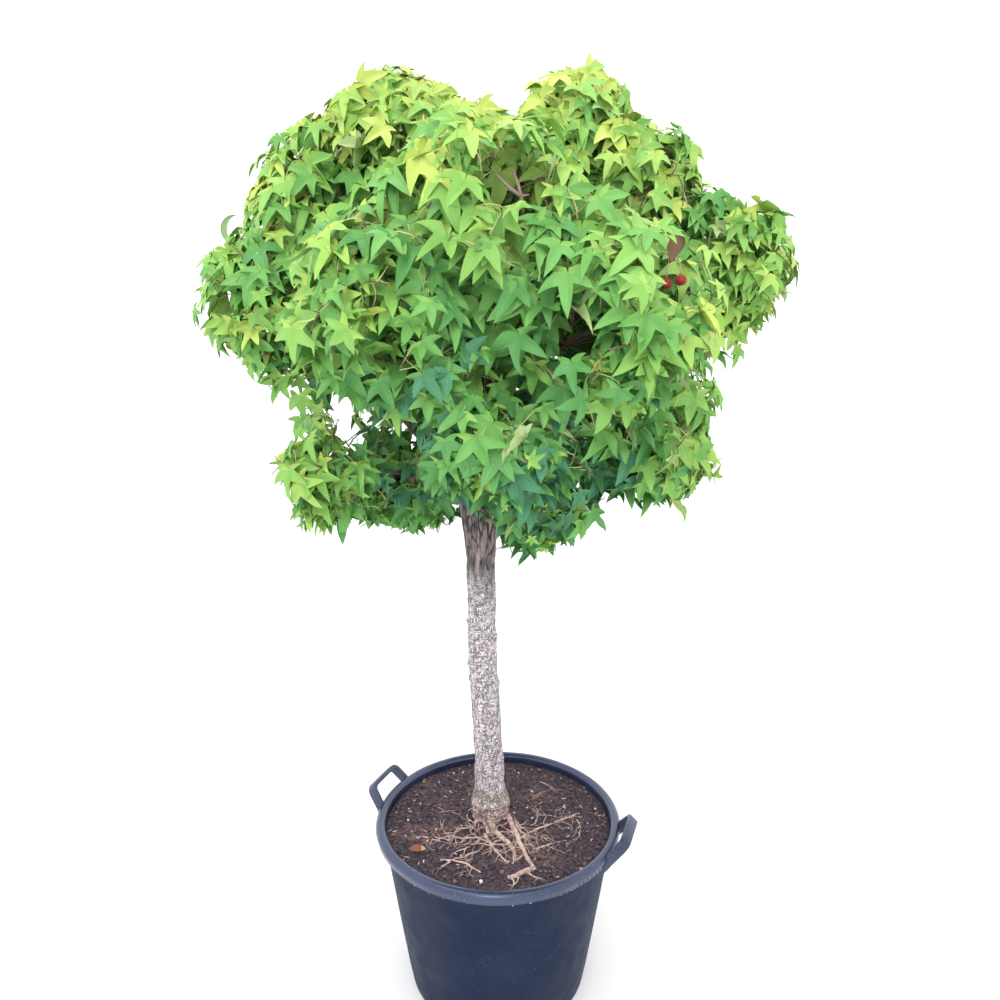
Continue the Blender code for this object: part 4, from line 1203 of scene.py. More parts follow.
# What each bough leaves, how far along it, and its radius there
BOUGHS: dict[str, tuple[str, float, float]] = {
    "top_left": ("trunk", 1.0, 0.0105),
    "top_right": ("trunk", 1.0, 0.0110),
    "front_top": ("trunk", 1.0, 0.0095),
    "back_top": ("trunk", 1.0, 0.0095),
    "side_left": ("trunk", 1.0, 0.0100),
    "side_right": ("trunk", 1.0, 0.0100),
    "front_low": ("trunk", 1.0, 0.0085),
    "back_low": ("trunk", 1.0, 0.0085),
    "lower_left": ("trunk", 1.0, 0.0075),
    "under_right": ("trunk", 1.0, 0.0070),
    "lower_right": ("trunk", 1.0, 0.0080),
    "under_left": ("trunk", 1.0, 0.0070),
    "upper_left": ("top_left", 0.30, 0.0075),
    "upper_right": ("top_right", 0.42, 0.0075),
    "front_left": ("front_top", 0.30, 0.0070),
    "front_right": ("front_top", 0.46, 0.0070),
    "back_left": ("back_top", 0.30, 0.0070),
    "back_right": ("back_top", 0.46, 0.0070),
}


class CrownPart(Enum):
    """Parts of the crown, each with the masses whose leaves make one piece."""

    TOP = ("top_left", "top_right", "upper_left", "upper_right")
    SIDES = ("side_left", "side_right")
    LOW = ("lower_left", "lower_right", "under_left", "under_right")
    FRONT = ("front_top", "front_left", "front_right", "front_low")
    BACK = ("back_top", "back_left", "back_right", "back_low")


class Bough:
    """One tapering limb from its parent to the edge of its leaf mass."""

    tip_radius = 0.0048
    entry_depth = 0.70

    def __init__(self, name: str, trunk: Trunk, limbs: dict[str, "Bough"]) -> None:
        """Lay the bough's curve from its parent to its mass."""
        parent, along, self.first_radius = BOUGHS[name]
        place, radius = MASSES[name]
        middle = Vector(place)
        self.name = name
        if parent == "trunk":
            start = trunk.head.copy()
            leave = (middle - start).normalized()
        else:
            start = limbs[parent].at(along)
            leave = (limbs[parent].heading(along) * 0.7 + (middle - start).normalized()).normalized()
        outward = (middle - CROWN_MIDDLE).normalized()
        inward = ((start - middle).normalized() - outward * 0.35).normalized()
        end = middle + inward * radius * self.entry_depth
        arrive = ((middle - end).normalized() + (end - start).normalized() * 0.6).normalized()
        reach = (end - start).length
        self.ends = (start, end)
        self.handles = (start + leave * reach * 0.38, end - arrive * reach * 0.34)

    def at(self, share: float) -> Vector:
        """Point of the bough's axis."""
        return bezier(self.ends, self.handles, share)

    def heading(self, share: float) -> Vector:
        """Direction of the bough's axis."""
        return (self.at(min(share + 0.01, 1.0)) - self.at(max(share - 0.01, 0.0))).normalized()

    def tip_heading(self) -> Vector:
        """Direction of the bough's last straight run."""
        return (self.at(1.0) - self.at(1.0 - 1.0 / 6)).normalized()

    def radius(self, share: float) -> float:
        """Radius of the bough at a share of its length."""
        return self.first_radius + (self.tip_radius - self.first_radius) * share ** 0.85

    def draw(self, shape: Shape) -> None:
        """Add the bough with its uneven bark, swollen where it leaves its parent."""
        rings = max(18, round((self.ends[1] - self.ends[0]).length / 0.006))
        path = []
        radii = []
        for ring in range(rings + 1):
            share = ring / rings
            path.append(self.at(share))
            radii.append(self.radius(share) * (1.0 + 0.45 * math.exp(-share * 14.0)))

        def bark(place: Vector, angle: float) -> float:
            return 1.0 + 0.10 * noise.noise(place * 45.0) + 0.07 * noise.noise(place * 190.0)

        shape.tube(path, radii, 14, 0, bark)


@dataclass
class Limbs:
    """All boughs of the crown."""

    trunk: Trunk
    boughs: dict[str, Bough] = field(default_factory=dict)

    def build(self) -> None:
        """Lay every bough and make them one piece."""
        shape = Shape()
        for name in BOUGHS:
            self.boughs[name] = Bough(name, self.trunk, self.boughs)
        for bough in self.boughs.values():
            bough.draw(shape)
        limbs = shape.build("boughs", [LimbBark().material()])
        hand_over(limbs, ["bough_" + name for name in BOUGHS])

    def room(self) -> tuple[np.ndarray, np.ndarray]:
        """Points along the trunk and the boughs, and the room that each one needs."""
        points = []
        rooms = []
        for step in range(41):
            point = self.trunk.point(step / 40)
            points.append(point)
            rooms.append(self.trunk.radius(point.z) + 0.006)
        for bough in self.boughs.values():
            for step in range(29):
                points.append(bough.at(step / 28))
                rooms.append(bough.radius(step / 28) + 0.004)
        return np.array(points), np.array(rooms)


class Space:
    """The room of one leaf mass: a bulging ball, cut where it meets its neighbours."""

    def __init__(self, name: str) -> None:
        """Work out the ball and the walls to its neighbours."""
        place, self.radius = MASSES[name]
        self.middle = Vector(place)
        self.walls: list[tuple[Vector, float]] = []
        for other, (spot, size) in MASSES.items():
            if other == name:
                continue
            away = self.squeeze(Vector(spot)) - self.squeeze(self.middle)
            balance = (away.length_squared + self.radius ** 2 - size ** 2) / (2.0 * away.length)
            self.walls.append((away.normalized(), balance))

    @staticmethod
    def squeeze(point: Vector) -> Vector:
        """Take the bulge out of a point, so that a mass is a round ball."""
        return Vector((point.x, point.y / DEPTH_BULGE, point.z))

    def stretch(self, offset: Vector) -> Vector:
        """A point of the room at an offset from its middle, with the bulge put in."""
        return self.middle + Vector((offset.x, offset.y * DEPTH_BULGE, offset.z))

    def in_cell(self, point: Vector, slack: float = 0.0) -> bool:
        """Tell whether a point is on this mass's side of every wall, or within a slack."""
        offset = self.squeeze(point) - self.squeeze(self.middle)
        return all(offset.dot(away) < balance + slack for away, balance in self.walls)


SKIN_BLEND = 0.030
BRIDGES: list[tuple[Colour, float]] = [
    ((-0.358, -0.100, 1.300), 0.050), ((-0.385, -0.060, 1.360), 0.050), ((0.184, -0.190, 1.150), 0.045),
    ((0.220, 0.100, 1.350), 0.100), ((-0.240, 0.100, 1.330), 0.095), ((0.000, -0.120, 1.400), 0.110),
    ((0.340, -0.080, 1.390), 0.060), ((0.010, 0.150, 1.360), 0.110), ((0.130, 0.120, 1.140), 0.060),
    ((0.000, 0.270, 1.420), 0.090),
]
SKIN_BALLS = list(MASSES.values()) + BRIDGES
SKIN_MIDDLES = np.array([Space.squeeze(Vector(place)) for place, _ in SKIN_BALLS])
SKIN_RADII = np.array([radius for _, radius in SKIN_BALLS])


def above_skin(points: np.ndarray) -> np.ndarray:
    """How far squeezed points stand above the skin that runs smoothly over all the masses."""
    distance = np.linalg.norm(points[:, None] - SKIN_MIDDLES[None], axis=2) - SKIN_RADII
    return -SKIN_BLEND * np.log(np.exp(-distance / SKIN_BLEND).sum(axis=1))


# Leaves


@dataclass
class Leaf:
    """One leaf: where its blade meets its stalk, how it hangs, and its colour."""

    seat: Vector
    leave: Vector
    middle: Vector
    along: Vector
    up: Vector
    size: float
    tone: Tone
    fold: float
    droop: float


class LeafBlade:
    """The outline of a five-lobed leaf, with its veins as narrow strips."""

    lobes = ((-114, 0.55), (-59, 0.86), (0, 1.0), (59, 0.86), (114, 0.55))
    notches = ((-166, 0.10), (-88, 0.34), (-30, 0.40), (30, 0.40), (88, 0.34), (166, 0.10))
    vein_rows = ((0.36, 0.007), (0.62, 0.006), (0.82, 0.004))
    edge_rows = ((0.58, 0.165), (0.80, 0.098))

    def __init__(self) -> None:
        """Lay out the vertices and the triangles of the flat blade."""
        self.flat: list[tuple[float, float]] = [(0.0, 0.0)]
        self.lobe: list[int] = [2]
        self.rim: list[float] = [0.0]
        self.triangles: list[tuple[int, int, int]] = []
        self.kinds: list[int] = []
        corners = []
        for index, (bearing, reach) in enumerate(self.notches):
            angle = math.radians(bearing)
            corners.append(self.vertex(reach * math.cos(angle), reach * math.sin(angle), min(index, 4), 0.22))
        for index, (bearing, reach) in enumerate(self.lobes):
            self.add_lobe(index, bearing, reach, corners[index], corners[index + 1])

    def vertex(self, x: float, y: float, lobe: int, rim: float) -> int:
        """Add a vertex.

        Args:
            x: Place along the middle lobe.
            y: Place across it.
            lobe: The lobe whose droop moves it.
            rim: How far it stands off the lobe's vein.

        Returns:
            Its number.
        """
        self.flat.append((x, y))
        self.lobe.append(lobe)
        self.rim.append(rim)
        return len(self.flat) - 1

    def face(self, corners: Sequence[int], kind: int = 0) -> None:
        """Add a face of the blade 0, a vein 1 or the crest 2 as a fan of triangles."""
        for second, third in zip(corners[1:], corners[2:]):
            self.triangles.append((corners[0], second, third))
            self.kinds.append(kind)

    def add_lobe(self, index: int, bearing: float, reach: float, low_notch: int, high_notch: int) -> None:
        """Add one lobe between two notches.

        Args:
            index: The lobe's number.
            bearing: Its direction in degrees.
            reach: Its length.
            low_notch: Vertex of the notch on its clockwise side.
            high_notch: Vertex of the notch on its other side.
        """
        angle = math.radians(bearing)
        cos, sin = math.cos(angle), math.sin(angle)

        def spot(along: float, across: float, rim: float) -> int:
            return self.vertex(along * cos - across * sin, along * sin + across * cos, index, rim)

        veins = [[spot(share * reach, side * wide, 0.0) for side in (-1, 1)] for share, wide in self.vein_rows]
        edges = [[spot(share * reach, side * wide * reach, wide) for side in (-1, 1)] for share, wide in self.edge_rows]
        edges.insert(0, [low_notch, high_notch])
        tip = spot(reach, 0.0, 0.0)
        # The basal lobes take the crest's lighter tone, partly painted sky light.
        body = 2 if index in (0, 4) else 0
        self.face((0, low_notch, veins[0][0]), body)
        self.face((0, veins[0][1], high_notch), body)
        self.face((0, veins[0][0], veins[0][1]), 1)
        for (low_vein, high_vein), (low_edge, high_edge), (low_next, high_next), (low_after, high_after) in zip(
                veins, edges, veins[1:], edges[1:]):
            self.face((low_vein, low_edge, low_after, low_next), body)
            self.face((high_vein, high_next, high_after, high_edge), body)
            self.face((low_vein, low_next, high_next, high_vein), 1)
        self.face((veins[2][0], edges[2][0], tip), body)
        self.face((veins[2][1], tip, edges[2][1]), body)
        self.face((veins[2][0], tip, veins[2][1]), 1)

    def tips(self) -> np.ndarray:
        """Places of the lobes' tips on the flat blade, stretched as far as the mesh may be."""
        turns = [(math.radians(bearing), reach * 1.08) for bearing, reach in self.lobes]
        return np.array([(reach * math.cos(angle), reach * math.sin(angle)) for angle, reach in turns])


class LeafPiece:
    """Many leaves as one mesh."""

    blade = LeafBlade()
    tips = blade.tips()

    def __init__(self, leaves: Sequence[Leaf], seed: int) -> None:
        """Keep the leaves and a source of small differences among them."""
        self.leaves = leaves
        self.draw = np.random.default_rng(seed)

    def vertices(self) -> np.ndarray:
        """Vertices of all leaves, folded on their middle vein, with lobes that droop."""
        blade = self.blade
        flat = np.array(blade.flat)
        lobe = np.array(blade.lobe)
        rim = np.array(blade.rim)
        count = len(self.leaves)
        along = np.array([leaf.along for leaf in self.leaves])[:, None, :]
        up = np.array([leaf.up for leaf in self.leaves])[:, None, :]
        across = np.cross(up, along)
        middle = np.array([leaf.middle for leaf in self.leaves])[:, None, :]
        size = np.array([leaf.size for leaf in self.leaves])[:, None]
        fold = np.array([leaf.fold for leaf in self.leaves])[:, None]
        droop = np.array([leaf.droop for leaf in self.leaves])[:, None]
        stretch = 1.0 + self.draw.uniform(-0.16, 0.12, (count, 5))[:, lobe]
        x = flat[:, 0] * stretch
        y = flat[:, 1] * stretch
        reach = np.hypot(x, y)
        sag = (droop * self.draw.uniform(0.4, 1.6, (count, 5))[:, lobe]) * reach ** 2
        twist = self.draw.uniform(-0.20, 0.20, (count, 5))[:, lobe] * reach
        height = np.abs(y) * np.sin(fold) + rim * self.draw.uniform(0.15, 0.95, (count, 1)) - sag
        height += twist * flat[:, 1] + 0.035 * np.sin(7.0 * x + 9.0 * y + 50.0 * size)
        wide = y * np.cos(fold)
        return middle + size[..., None] * (x[..., None] * along + wide[..., None] * across + height[..., None] * up)

    def build(self, name: str) -> bpy.types.Object:
        """Make the piece's object.

        Args:
            name: The object's name.

        Returns:
            The object.
        """
        points = self.vertices()
        count, corners = points.shape[:2]
        triangles = np.array(self.blade.triangles)
        faces = (triangles[None] + (np.arange(count) * corners)[:, None, None]).reshape(-1, 3)
        tones = np.array([LEAF_TONES.index(leaf.tone) for leaf in self.leaves])
        # Crest faces take the next lighter tone, partly painted sky light.
        crests = np.array([LEAF_TONES.index(leaf.tone.lighter()) for leaf in self.leaves])
        choices = np.stack((2 * tones, 2 * tones + 1, 2 * crests), axis=1)
        slots = choices[:, self.blade.kinds].ravel()
        mesh = bpy.data.meshes.new(name)
        mesh.vertices.add(count * corners)
        mesh.vertices.foreach_set("co", points.astype(np.float32).ravel())
        mesh.loops.add(faces.size)
        mesh.loops.foreach_set("vertex_index", faces.ravel().astype(np.int32))
        mesh.polygons.add(len(faces))
        mesh.polygons.foreach_set("loop_start", np.arange(0, faces.size, 3, dtype=np.int32))
        mesh.polygons.foreach_set("material_index", slots.astype(np.int32))
        for tone in LEAF_TONES:
            for finish in tone.finishes():
                mesh.materials.append(finish.material())
        mesh.update(calc_edges=True)
        return place_mesh(mesh)


# Growth of one mass


@dataclass(frozen=True)
class Node:
    """A place on a twig that can bear a finer twig or a leaf."""

    point: Vector
    heading: Vector
    order: int
    spray: int


@dataclass
class Growth:
    """Measures of the rule by which twigs and leaves fill a mass."""

    gap: float = 0.0003
    stem_collar: float = 0.012
    stem_past_middle: float = 0.32
    twigs_per_metre: float = 35.0
    twig_reach: float = 0.66
    twig_spread: float = 1.25
    shoots_per_metre: float = 190.0
    spurs_per_metre: float = 440.0
    node_step: float = 0.011
    leaf_spread: float = 1.80
    leaves_per_area: float = 19000.0
    layers: tuple[tuple[float, float], ...] = ((0.90, 0.38), (0.75, 0.34), (0.56, 0.28))
    leaf_size: float = 0.068
    overhang: float = -0.012
    hang: float = 0.010
    unevenness: float = 0.024
    stray_share: float = 0.22
    stray: float = 0.014
    sparse_below: float = -0.30
    fill: float = 0.085
    short_stalk: float = 0.016
    long_stalk: float = 0.120
    tries: int = 9
    seed: int = 5


@dataclass(frozen=True)
class Clearing:
    """A straight way through the leaves, where sky, fruit or limbs show."""

    first: Vector
    last: Vector
    radius: float

    def holds(self, points: np.ndarray) -> bool:
        """Tell whether any of some points lies in the way."""
        first, run = np.array(self.first), np.array(self.last - self.first)
        share = np.clip((points - first) @ run / (run @ run), 0.0, 1.0)
        return bool((np.linalg.norm(points - first - share[:, None] * run, axis=1) < self.radius).any())


CLEARINGS = [
    Clearing(Vector((0.262, -0.440, 1.497)), Vector((0.262, -0.350, 1.492)), 0.034),
    Clearing(Vector((0.016, -0.470, 1.628)), Vector((0.024, -0.390, 1.612)), 0.036),
    Clearing(Vector((-0.250, -0.300, 1.314)), Vector((-0.395, 0.400, 1.280)), 0.016),
    Clearing(Vector((-0.249, -0.300, 1.266)), Vector((-0.393, 0.400, 1.203)), 0.016),
    Clearing(Vector((-0.444, -0.250, 1.467)), Vector((-0.602, 0.200, 1.500)), 0.016),
    Clearing(Vector((0.107, -0.440, 1.409)), Vector((0.112, -0.360, 1.406)), 0.026),
    Clearing(Vector((0.006, -0.420, 1.330)), Vector((0.005, -0.350, 1.326)), 0.024),
    Clearing(Vector((-0.160, -0.460, 1.385)), Vector((-0.166, -0.400, 1.382)), 0.024),
    Clearing(Vector((-0.428, -0.250, 1.608)), Vector((-0.598, 0.250, 1.700)), 0.030),
    Clearing(Vector((0.241, -0.200, 1.808)), Vector((0.330, 0.300, 1.972)), 0.032),
    Clearing(Vector((0.357, -0.200, 1.685)), Vector((0.463, 0.200, 1.779)), 0.022),
    Clearing(Vector((0.511, -0.200, 1.569)), Vector((0.664, 0.200, 1.628)), 0.018),
    Clearing(Vector((-0.383, -0.250, 1.253)), Vector((-0.520, 0.200, 1.210)), 0.032),
    Clearing(Vector((-0.379, -0.250, 1.144)), Vector((-0.514, 0.200, 1.063)), 0.024),
    Clearing(Vector((0.386, -0.250, 1.261)), Vector((0.521, 0.200, 1.221)), 0.028),
    Clearing(Vector((-0.286, -0.200, 1.814)), Vector((-0.374, 0.200, 1.947)), 0.025),
    Clearing(Vector((0.014, -0.300, 1.770)), Vector((0.018, 0.300, 1.964)), 0.030),
    Clearing(Vector((-0.198, -0.200, 1.853)), Vector((-0.267, 0.250, 2.016)), 0.012),
    Clearing(Vector((-0.106, -0.200, 1.838)), Vector((-0.144, 0.250, 1.996)), 0.012),
    Clearing(Vector((0.509, -0.100, 1.641)), Vector((0.616, 0.200, 1.697)), 0.012),
    Clearing(Vector((-0.240, -0.200, 1.832)), Vector((-0.322, 0.250, 1.988)), 0.020),
    Clearing(Vector((-0.340, -0.200, 1.769)), Vector((-0.457, 0.250, 1.903)), 0.016),
    Clearing(Vector((0.242, -0.200, 1.773)), Vector((0.323, 0.250, 1.909)), 0.014),
    Clearing(Vector((-0.386, -0.250, 1.320)), Vector((-0.524, 0.200, 1.301)), 0.012),
    Clearing(Vector((0.190, -0.300, 1.150)), Vector((0.251, 0.100, 1.076)), 0.012),
    Clearing(Vector((-0.031, -0.350, 1.094)), Vector((-0.040, -0.050, 1.022)), 0.030),
    Clearing(Vector((-0.073, -0.300, 1.130)), Vector((-0.098, 0.100, 1.050)), 0.010),
]


class LeafMass:
    """A mass of foliage: one stem, twigs that branch from it and leaves on the twigs."""

    def __init__(self, name: str, bough: Bough, room: tuple[np.ndarray, np.ndarray], rule: Growth) -> None:
        """Grow the mass from its bough's tip.

        Args:
            name: The mass's name.
            bough: The limb that carries it.
            room: Points along the limbs and the room that each needs.
            rule: Measures of the growth.
        """
        self.name = name
        self.rule = rule
        self.space = Space(name)
        self.bough = bough
        self.limb_points, self.limb_rooms = room
        seed = rule.seed + sum(ord(letter) for letter in name)
        self.dice = random.Random(seed)
        self.fine_dice = random.Random(seed + 1000)
        self.outward = (self.space.middle - CROWN_MIDDLE).normalized()
        self.nodes: list[Node] = []
        self.twigs: list[tuple[Path, float, float, int]] = []
        self.leaves: list[Leaf] = []
        self.sprays: list[float] = []
        self.grow_main_twigs()
        self.grow_shoots()
        self.grow_leaves()

    def keep_twig(self, path: Path, first: float, last: float, order: int, skip: float = 0.25) -> None:
        """Keep a twig and the nodes along it.

        Args:
            path: Its middle line.
            first: Its first radius.
            last: Its last radius.
            order: 0 for the stem, 1 for what leaves it, and so on.
            skip: Bare share at its start.
        """
        self.twigs.append((path, first, last, order))
        self.sprays.append(self.fine_dice.random())
        length = sum((b - a).length for a, b in zip(path, path[1:]))
        count = max(2, round(length * (1.0 - skip) / self.rule.node_step))
        for index in range(count + 1):
            share = skip + (1.0 - skip) * index / count
            ahead = on_path(path, min(share + 0.02, 1.0))
            behind = on_path(path, max(share - 0.05, 0.0))
            self.nodes.append(Node(on_path(path, share), (ahead - behind).normalized(), order, len(self.sprays) - 1))

    def grow_main_twigs(self) -> None:
        """The stem that goes on from the bough, and the twigs that leave it."""
        rule, space = self.rule, self.space
        heading = self.bough.tip_heading()
        start = self.bough.at(1.0) + heading * rule.gap
        end = space.middle + self.outward * space.radius * rule.stem_past_middle
        stem = [start] + twig_points(start + heading * rule.stem_collar, heading, end, 2)
        curve = [start] + twig_points(start + heading * rule.stem_collar, heading, end, 8)
        self.keep_twig(curve, 0.0046, 0.0028, 0, 0.3)
        count = max(4, round(space.radius * rule.twigs_per_metre))
        directions = spread_directions(count, self.outward, self.dice, rule.twig_spread)
        for index, direction in enumerate(reversed(directions)):
            end = space.middle + direction * space.radius * rule.twig_reach
            start = on_path(stem, min(0.12 + 0.86 * index / (count - 1), 0.97))
            leave = ((end - start).normalized() + self.outward * 0.5).normalized()
            while not space.in_cell(end) and (end - start).length > 0.03:
                end = end.lerp(start, 0.12)
            self.keep_twig(twig_points(start, leave, end, 6), 0.0028, 0.0017, 1)

    def nearest(self, target: Vector, least: float) -> Node | None:
        """The node that a twig to a target would leave from.

        Args:
            target: Where the twig is to end.
            least: Shortest way from the node to the target.

        Returns:
            The node, or None if all lie too near.
        """
        points = np.array([node.point for node in self.nodes])
        headings = np.array([node.heading for node in self.nodes])
        away = np.array(target) - points
        distance = np.linalg.norm(away, axis=1)
        ahead = np.einsum("ij,ij->i", away, headings) / np.maximum(distance, 1e-6)
        cost = distance * (1.35 - 0.35 * ahead) + np.where(distance < least, 10.0, 0.0)
        best = int(np.argmin(cost))
        return self.nodes[best] if cost[best] < 9.0 else None

    def grow_shoots(self) -> None:
        """Shoots that leave the twigs, then short spurs that leave the shoots."""
        rule, space, dice = self.rule, self.space, self.fine_dice
        generations = ((rule.shoots_per_metre, 0.50, 0.86, 2), (rule.spurs_per_metre, 0.55, 0.93, 3))
        for per_metre, low, high, order in generations:
            count = round(space.radius * per_metre)
            targets = []
            directions = spread_directions(count, self.outward, dice, 1.8)
            for direction, skin in zip(directions, self.skin_reach(directions)):
                reach = dice.uniform(low, high)
                offset = (direction + random_vector(dice, 0.12)) * float(skin) * reach
                targets.append((reach, space.stretch(offset)))
            for _, end in sorted(targets, key=lambda target: target[0]):
                if not space.in_cell(end, 0.012):
                    continue
                node = self.nearest(end, 0.022)
                if node is None or (end - node.point).length > 0.16:
                    continue
                leave = (node.heading * 0.8 + (end - node.point).normalized() + UP * 0.15).normalized()
                first = 0.0021 if order == 2 else 0.0015
                path = twig_points(node.point, leave, end, 4)
                if not any(clearing.holds(np.array(path)) for clearing in CLEARINGS):
                    self.keep_twig(path, first, first * 0.62, order, 0.35)

    def pick_tone(self, middle: Vector, spray: float) -> Tone:
        """The colour of a leaf: painted light by its place in the crown, real variety by its spray.

        Args:
            middle: Where the leaf is.
            spray: The spray's own number from 0 to 1.

        Returns:
            The leaf's tone.
        """
        offset = self.space.squeeze(middle) - self.space.squeeze(self.space.middle)
        outer = offset.dot(self.outward) / self.space.radius
        height = min(max((middle.z - 1.05) / 0.85, 0.0), 1.0)
        side = smooth((abs(middle.x + 0.02) - 0.20) / 0.25)
        # Painted light: lighter tones high up, farther out and on the lower flanks, where the sky lights the crown; the
        # spray term is real variety.
        light = 0.40 + 0.05 * outer + 0.39 * height ** 1.4 + blend(0.27, -0.05, height) * side + 0.28 * (spray - 0.5)
        # Random scatter, plus painted light on the leaves behind the crown's front.
        light += self.fine_dice.gauss(0.0, 0.06) + (0.06 if middle.y > -0.05 else 0.0)
        # Painted light shining through the leaves: those deep in a mass get lighter tones, most near the top.
        light += blend(0.02, 0.32, height) * max(1.0 - offset.length / self.space.radius, 0.0)
        # Painted light and shade low in the crown: lighter at the lower left, darker in the lower middle.
        low = 1.0 - smooth((middle.z - 1.26) / 0.12)
        light += low * (0.11 * smooth((-middle.x - 0.12) / 0.12) - 0.07 * smooth((0.16 - abs(middle.x)) / 0.08))
        index = min(max(int(light * len(DARK_TO_LIGHT)), 0), len(DARK_TO_LIGHT) - 1)
        return DARK_TO_LIGHT[index]

    def clear_of_limbs(self, middle: Vector) -> bool:
        """Tell whether a blade's middle leaves the limbs their room."""
        distance = np.linalg.norm(self.limb_points - np.array(middle), axis=1)
        return bool(np.all(distance > self.limb_rooms + 0.008))

    def fits(self, leaf: Leaf) -> bool:
        """Tell whether a leaf's tips stay under the crown's skin and out of the clearings."""
        x, y = LeafPiece.tips.T * leaf.size
        rise = np.abs(y) * math.sin(leaf.fold) - leaf.droop * (x ** 2 + y ** 2) / leaf.size
        middle, along, up = (np.array(axis) for axis in (leaf.middle, leaf.along, leaf.up))
        across = np.cross(up, along) * math.cos(leaf.fold)
        tips = middle + np.outer(x, along) + np.outer(y, across) + np.outer(rise, up)
        slack = self.rule.overhang + self.rule.unevenness * noise.noise(leaf.middle * 11.0)
        slack -= self.rule.hang * (leaf.middle - self.space.middle).normalized().z
        if leaf.size * 7919.0 % 1.0 < self.rule.stray_share:
            slack += self.rule.stray
        if above_skin(tips / (1.0, DEPTH_BULGE, 1.0)).max() > slack:
            return False
        stalk = (np.array(leaf.seat) + middle) / 2.0
        points = np.concatenate((tips, middle + (tips - middle) * 0.5, stalk[None]))
        return not any(clearing.holds(points) for clearing in CLEARINGS)

    def skin_reach(self, directions: Path) -> np.ndarray:
        """How far directions from the mass's middle run to the crown's skin."""
        rays = np.array(directions)
        start = np.array(Space.squeeze(self.space.middle))
        reach = np.full(len(rays), self.space.radius)
        for _ in range(4):
            reach -= above_skin(start + rays * reach[:, None])
            reach = np.clip(reach, self.space.radius * 0.95, self.space.radius + self.rule.fill)
        return reach

    def hang_leaf(self, middle: Vector, direction: Vector, node: Node, size: float) -> Leaf | None:
        """The first of several tries that fits.

        Args:
            middle: Where the blade meets its stalk.
            direction: Direction from the mass's middle.
            node: The twig's node that bears it.
            size: Length of the middle lobe.

        Returns:
            The leaf, or None where none fits.
        """
        dice = self.fine_dice
        out = (middle - CROWN_MIDDLE).normalized()
        level_out = Vector((out.x, out.y, 0.0)) + Vector((direction.x, direction.y, 0.0)) * 0.3
        level_out += Vector((0.0, -0.85, 0.0)) * (1.0 - smooth((middle.y - 0.08) / 0.22))
        level_out.normalize()
        pull = (middle - node.point).normalized()
        for attempt in range(self.rule.tries):
            up = (level_out * dice.uniform(0.45, 1.1) + UP * dice.uniform(0.15, 1.0) + random_vector(dice, 0.50)).normalized()
            hang = level_out * 0.35 - UP * 0.9
            turn = dice.gauss(0.0, 0.60) + 0.45 * (attempt % 5 - 2) * (attempt > 1)
            along = hang + pull * 0.35 + up.cross(hang) * turn
            along = (along - up * along.dot(up)).normalized()
            fold = dice.uniform(0.03, 0.50) if dice.random() < 0.97 else dice.uniform(0.9, 1.30)
            tone = self.pick_tone(middle, self.sprays[node.spray])
            if fold > 0.8:
                tone = Tone.PALE
            scale = size * (1.0 - 0.035 * attempt)
            leaf = Leaf(node.point, node.heading, middle, along, up, scale, tone, fold, dice.uniform(0.06, 0.34))
            if self.fits(leaf):
                return leaf
        return None

    def grow_leaves(self) -> None:
        """Blades spread evenly through the room, each on the nearest free node, then young tips."""
        rule, space, dice = self.rule, self.space, self.fine_dice
        points = np.array([node.point for node in self.nodes])
        orders = np.array([node.order for node in self.nodes])
        free = orders >= 1
        total = rule.leaves_per_area * space.radius ** 2
        for reach, share in rule.layers:
            directions = spread_directions(round(total * share), self.outward, dice, rule.leaf_spread)
            for direction, skin in zip(directions, self.skin_reach(directions)):
                jittered = (direction + random_vector(dice, 0.10)) * float(skin) * (reach + dice.uniform(-0.09, 0.06))
                middle = space.stretch(jittered)
                if not space.in_cell(middle, 0.012) or not self.clear_of_limbs(middle):
                    continue
                if reach > 0.6 and noise.noise(middle * 11.0) < rule.sparse_below:
                    continue
                distance = np.linalg.norm(points - np.array(middle), axis=1)
                cost = np.abs(distance - 0.045) + np.where(free, 0.0, 10.0)
                cost += np.where((distance < rule.short_stalk) | (distance > rule.long_stalk), 5.0, 0.0)
                best = int(np.argmin(cost))
                if cost[best] > 4.0:
                    continue
                size = rule.leaf_size * dice.uniform(0.62, 1.04)
                leaf = self.hang_leaf(middle, direction, self.nodes[best], size)
                if leaf:
                    free[best] = False
                    self.leaves.append(leaf)
        self.grow_young_leaves()

    def grow_young_leaves(self) -> None:
        """Small light leaves that stand at the tips of outer shoots."""
        dice = self.fine_dice
        for path, _, _, order in self.twigs:
            tip = path[-1]
            outer = (tip - self.space.middle).dot(self.outward) / self.space.radius
            if order < 2 or outer < 0.35 or dice.random() < 0.45:
                continue
            heading = (path[-1] - path[-2]).normalized()
            for index in range(dice.choice((1, 2, 3))):
                lean = (heading + random_vector(dice, 0.55) + UP * 0.35).normalized()
                middle = tip + lean * dice.uniform(0.010, 0.026)
                up = (UP * 0.4 + self.outward + random_vector(dice, 0.6)).normalized()
                along = (lean - up * lean.dot(up)).normalized()
                high = tip.z > 1.70
                tone = dice.choice((Tone.LIME, Tone.YELLOW, Tone.BRONZE) if high else (Tone.LIME, Tone.BRIGHT, Tone.LIME))
                size = dice.uniform(0.020, 0.036)
                leaf = Leaf(tip, heading, middle, along, up, size, tone, dice.uniform(0.3, 0.9), 0.2)
                if self.fits(leaf):
                    self.leaves.append(leaf)

    def draw_twigs(self, shape: Shape) -> None:
        """Add the twigs: brown ones, and the last order green."""
        for path, first, last, order in self.twigs:
            count = len(path) - 1
            radii = [blend(first, last, index / count) for index in range(count + 1)]
            green = order == 3 and self.fine_dice.random() < 0.55
            shape.tube(path, radii, 5 if order < 2 else 4 if order == 2 else 3, 1 if green else 0)

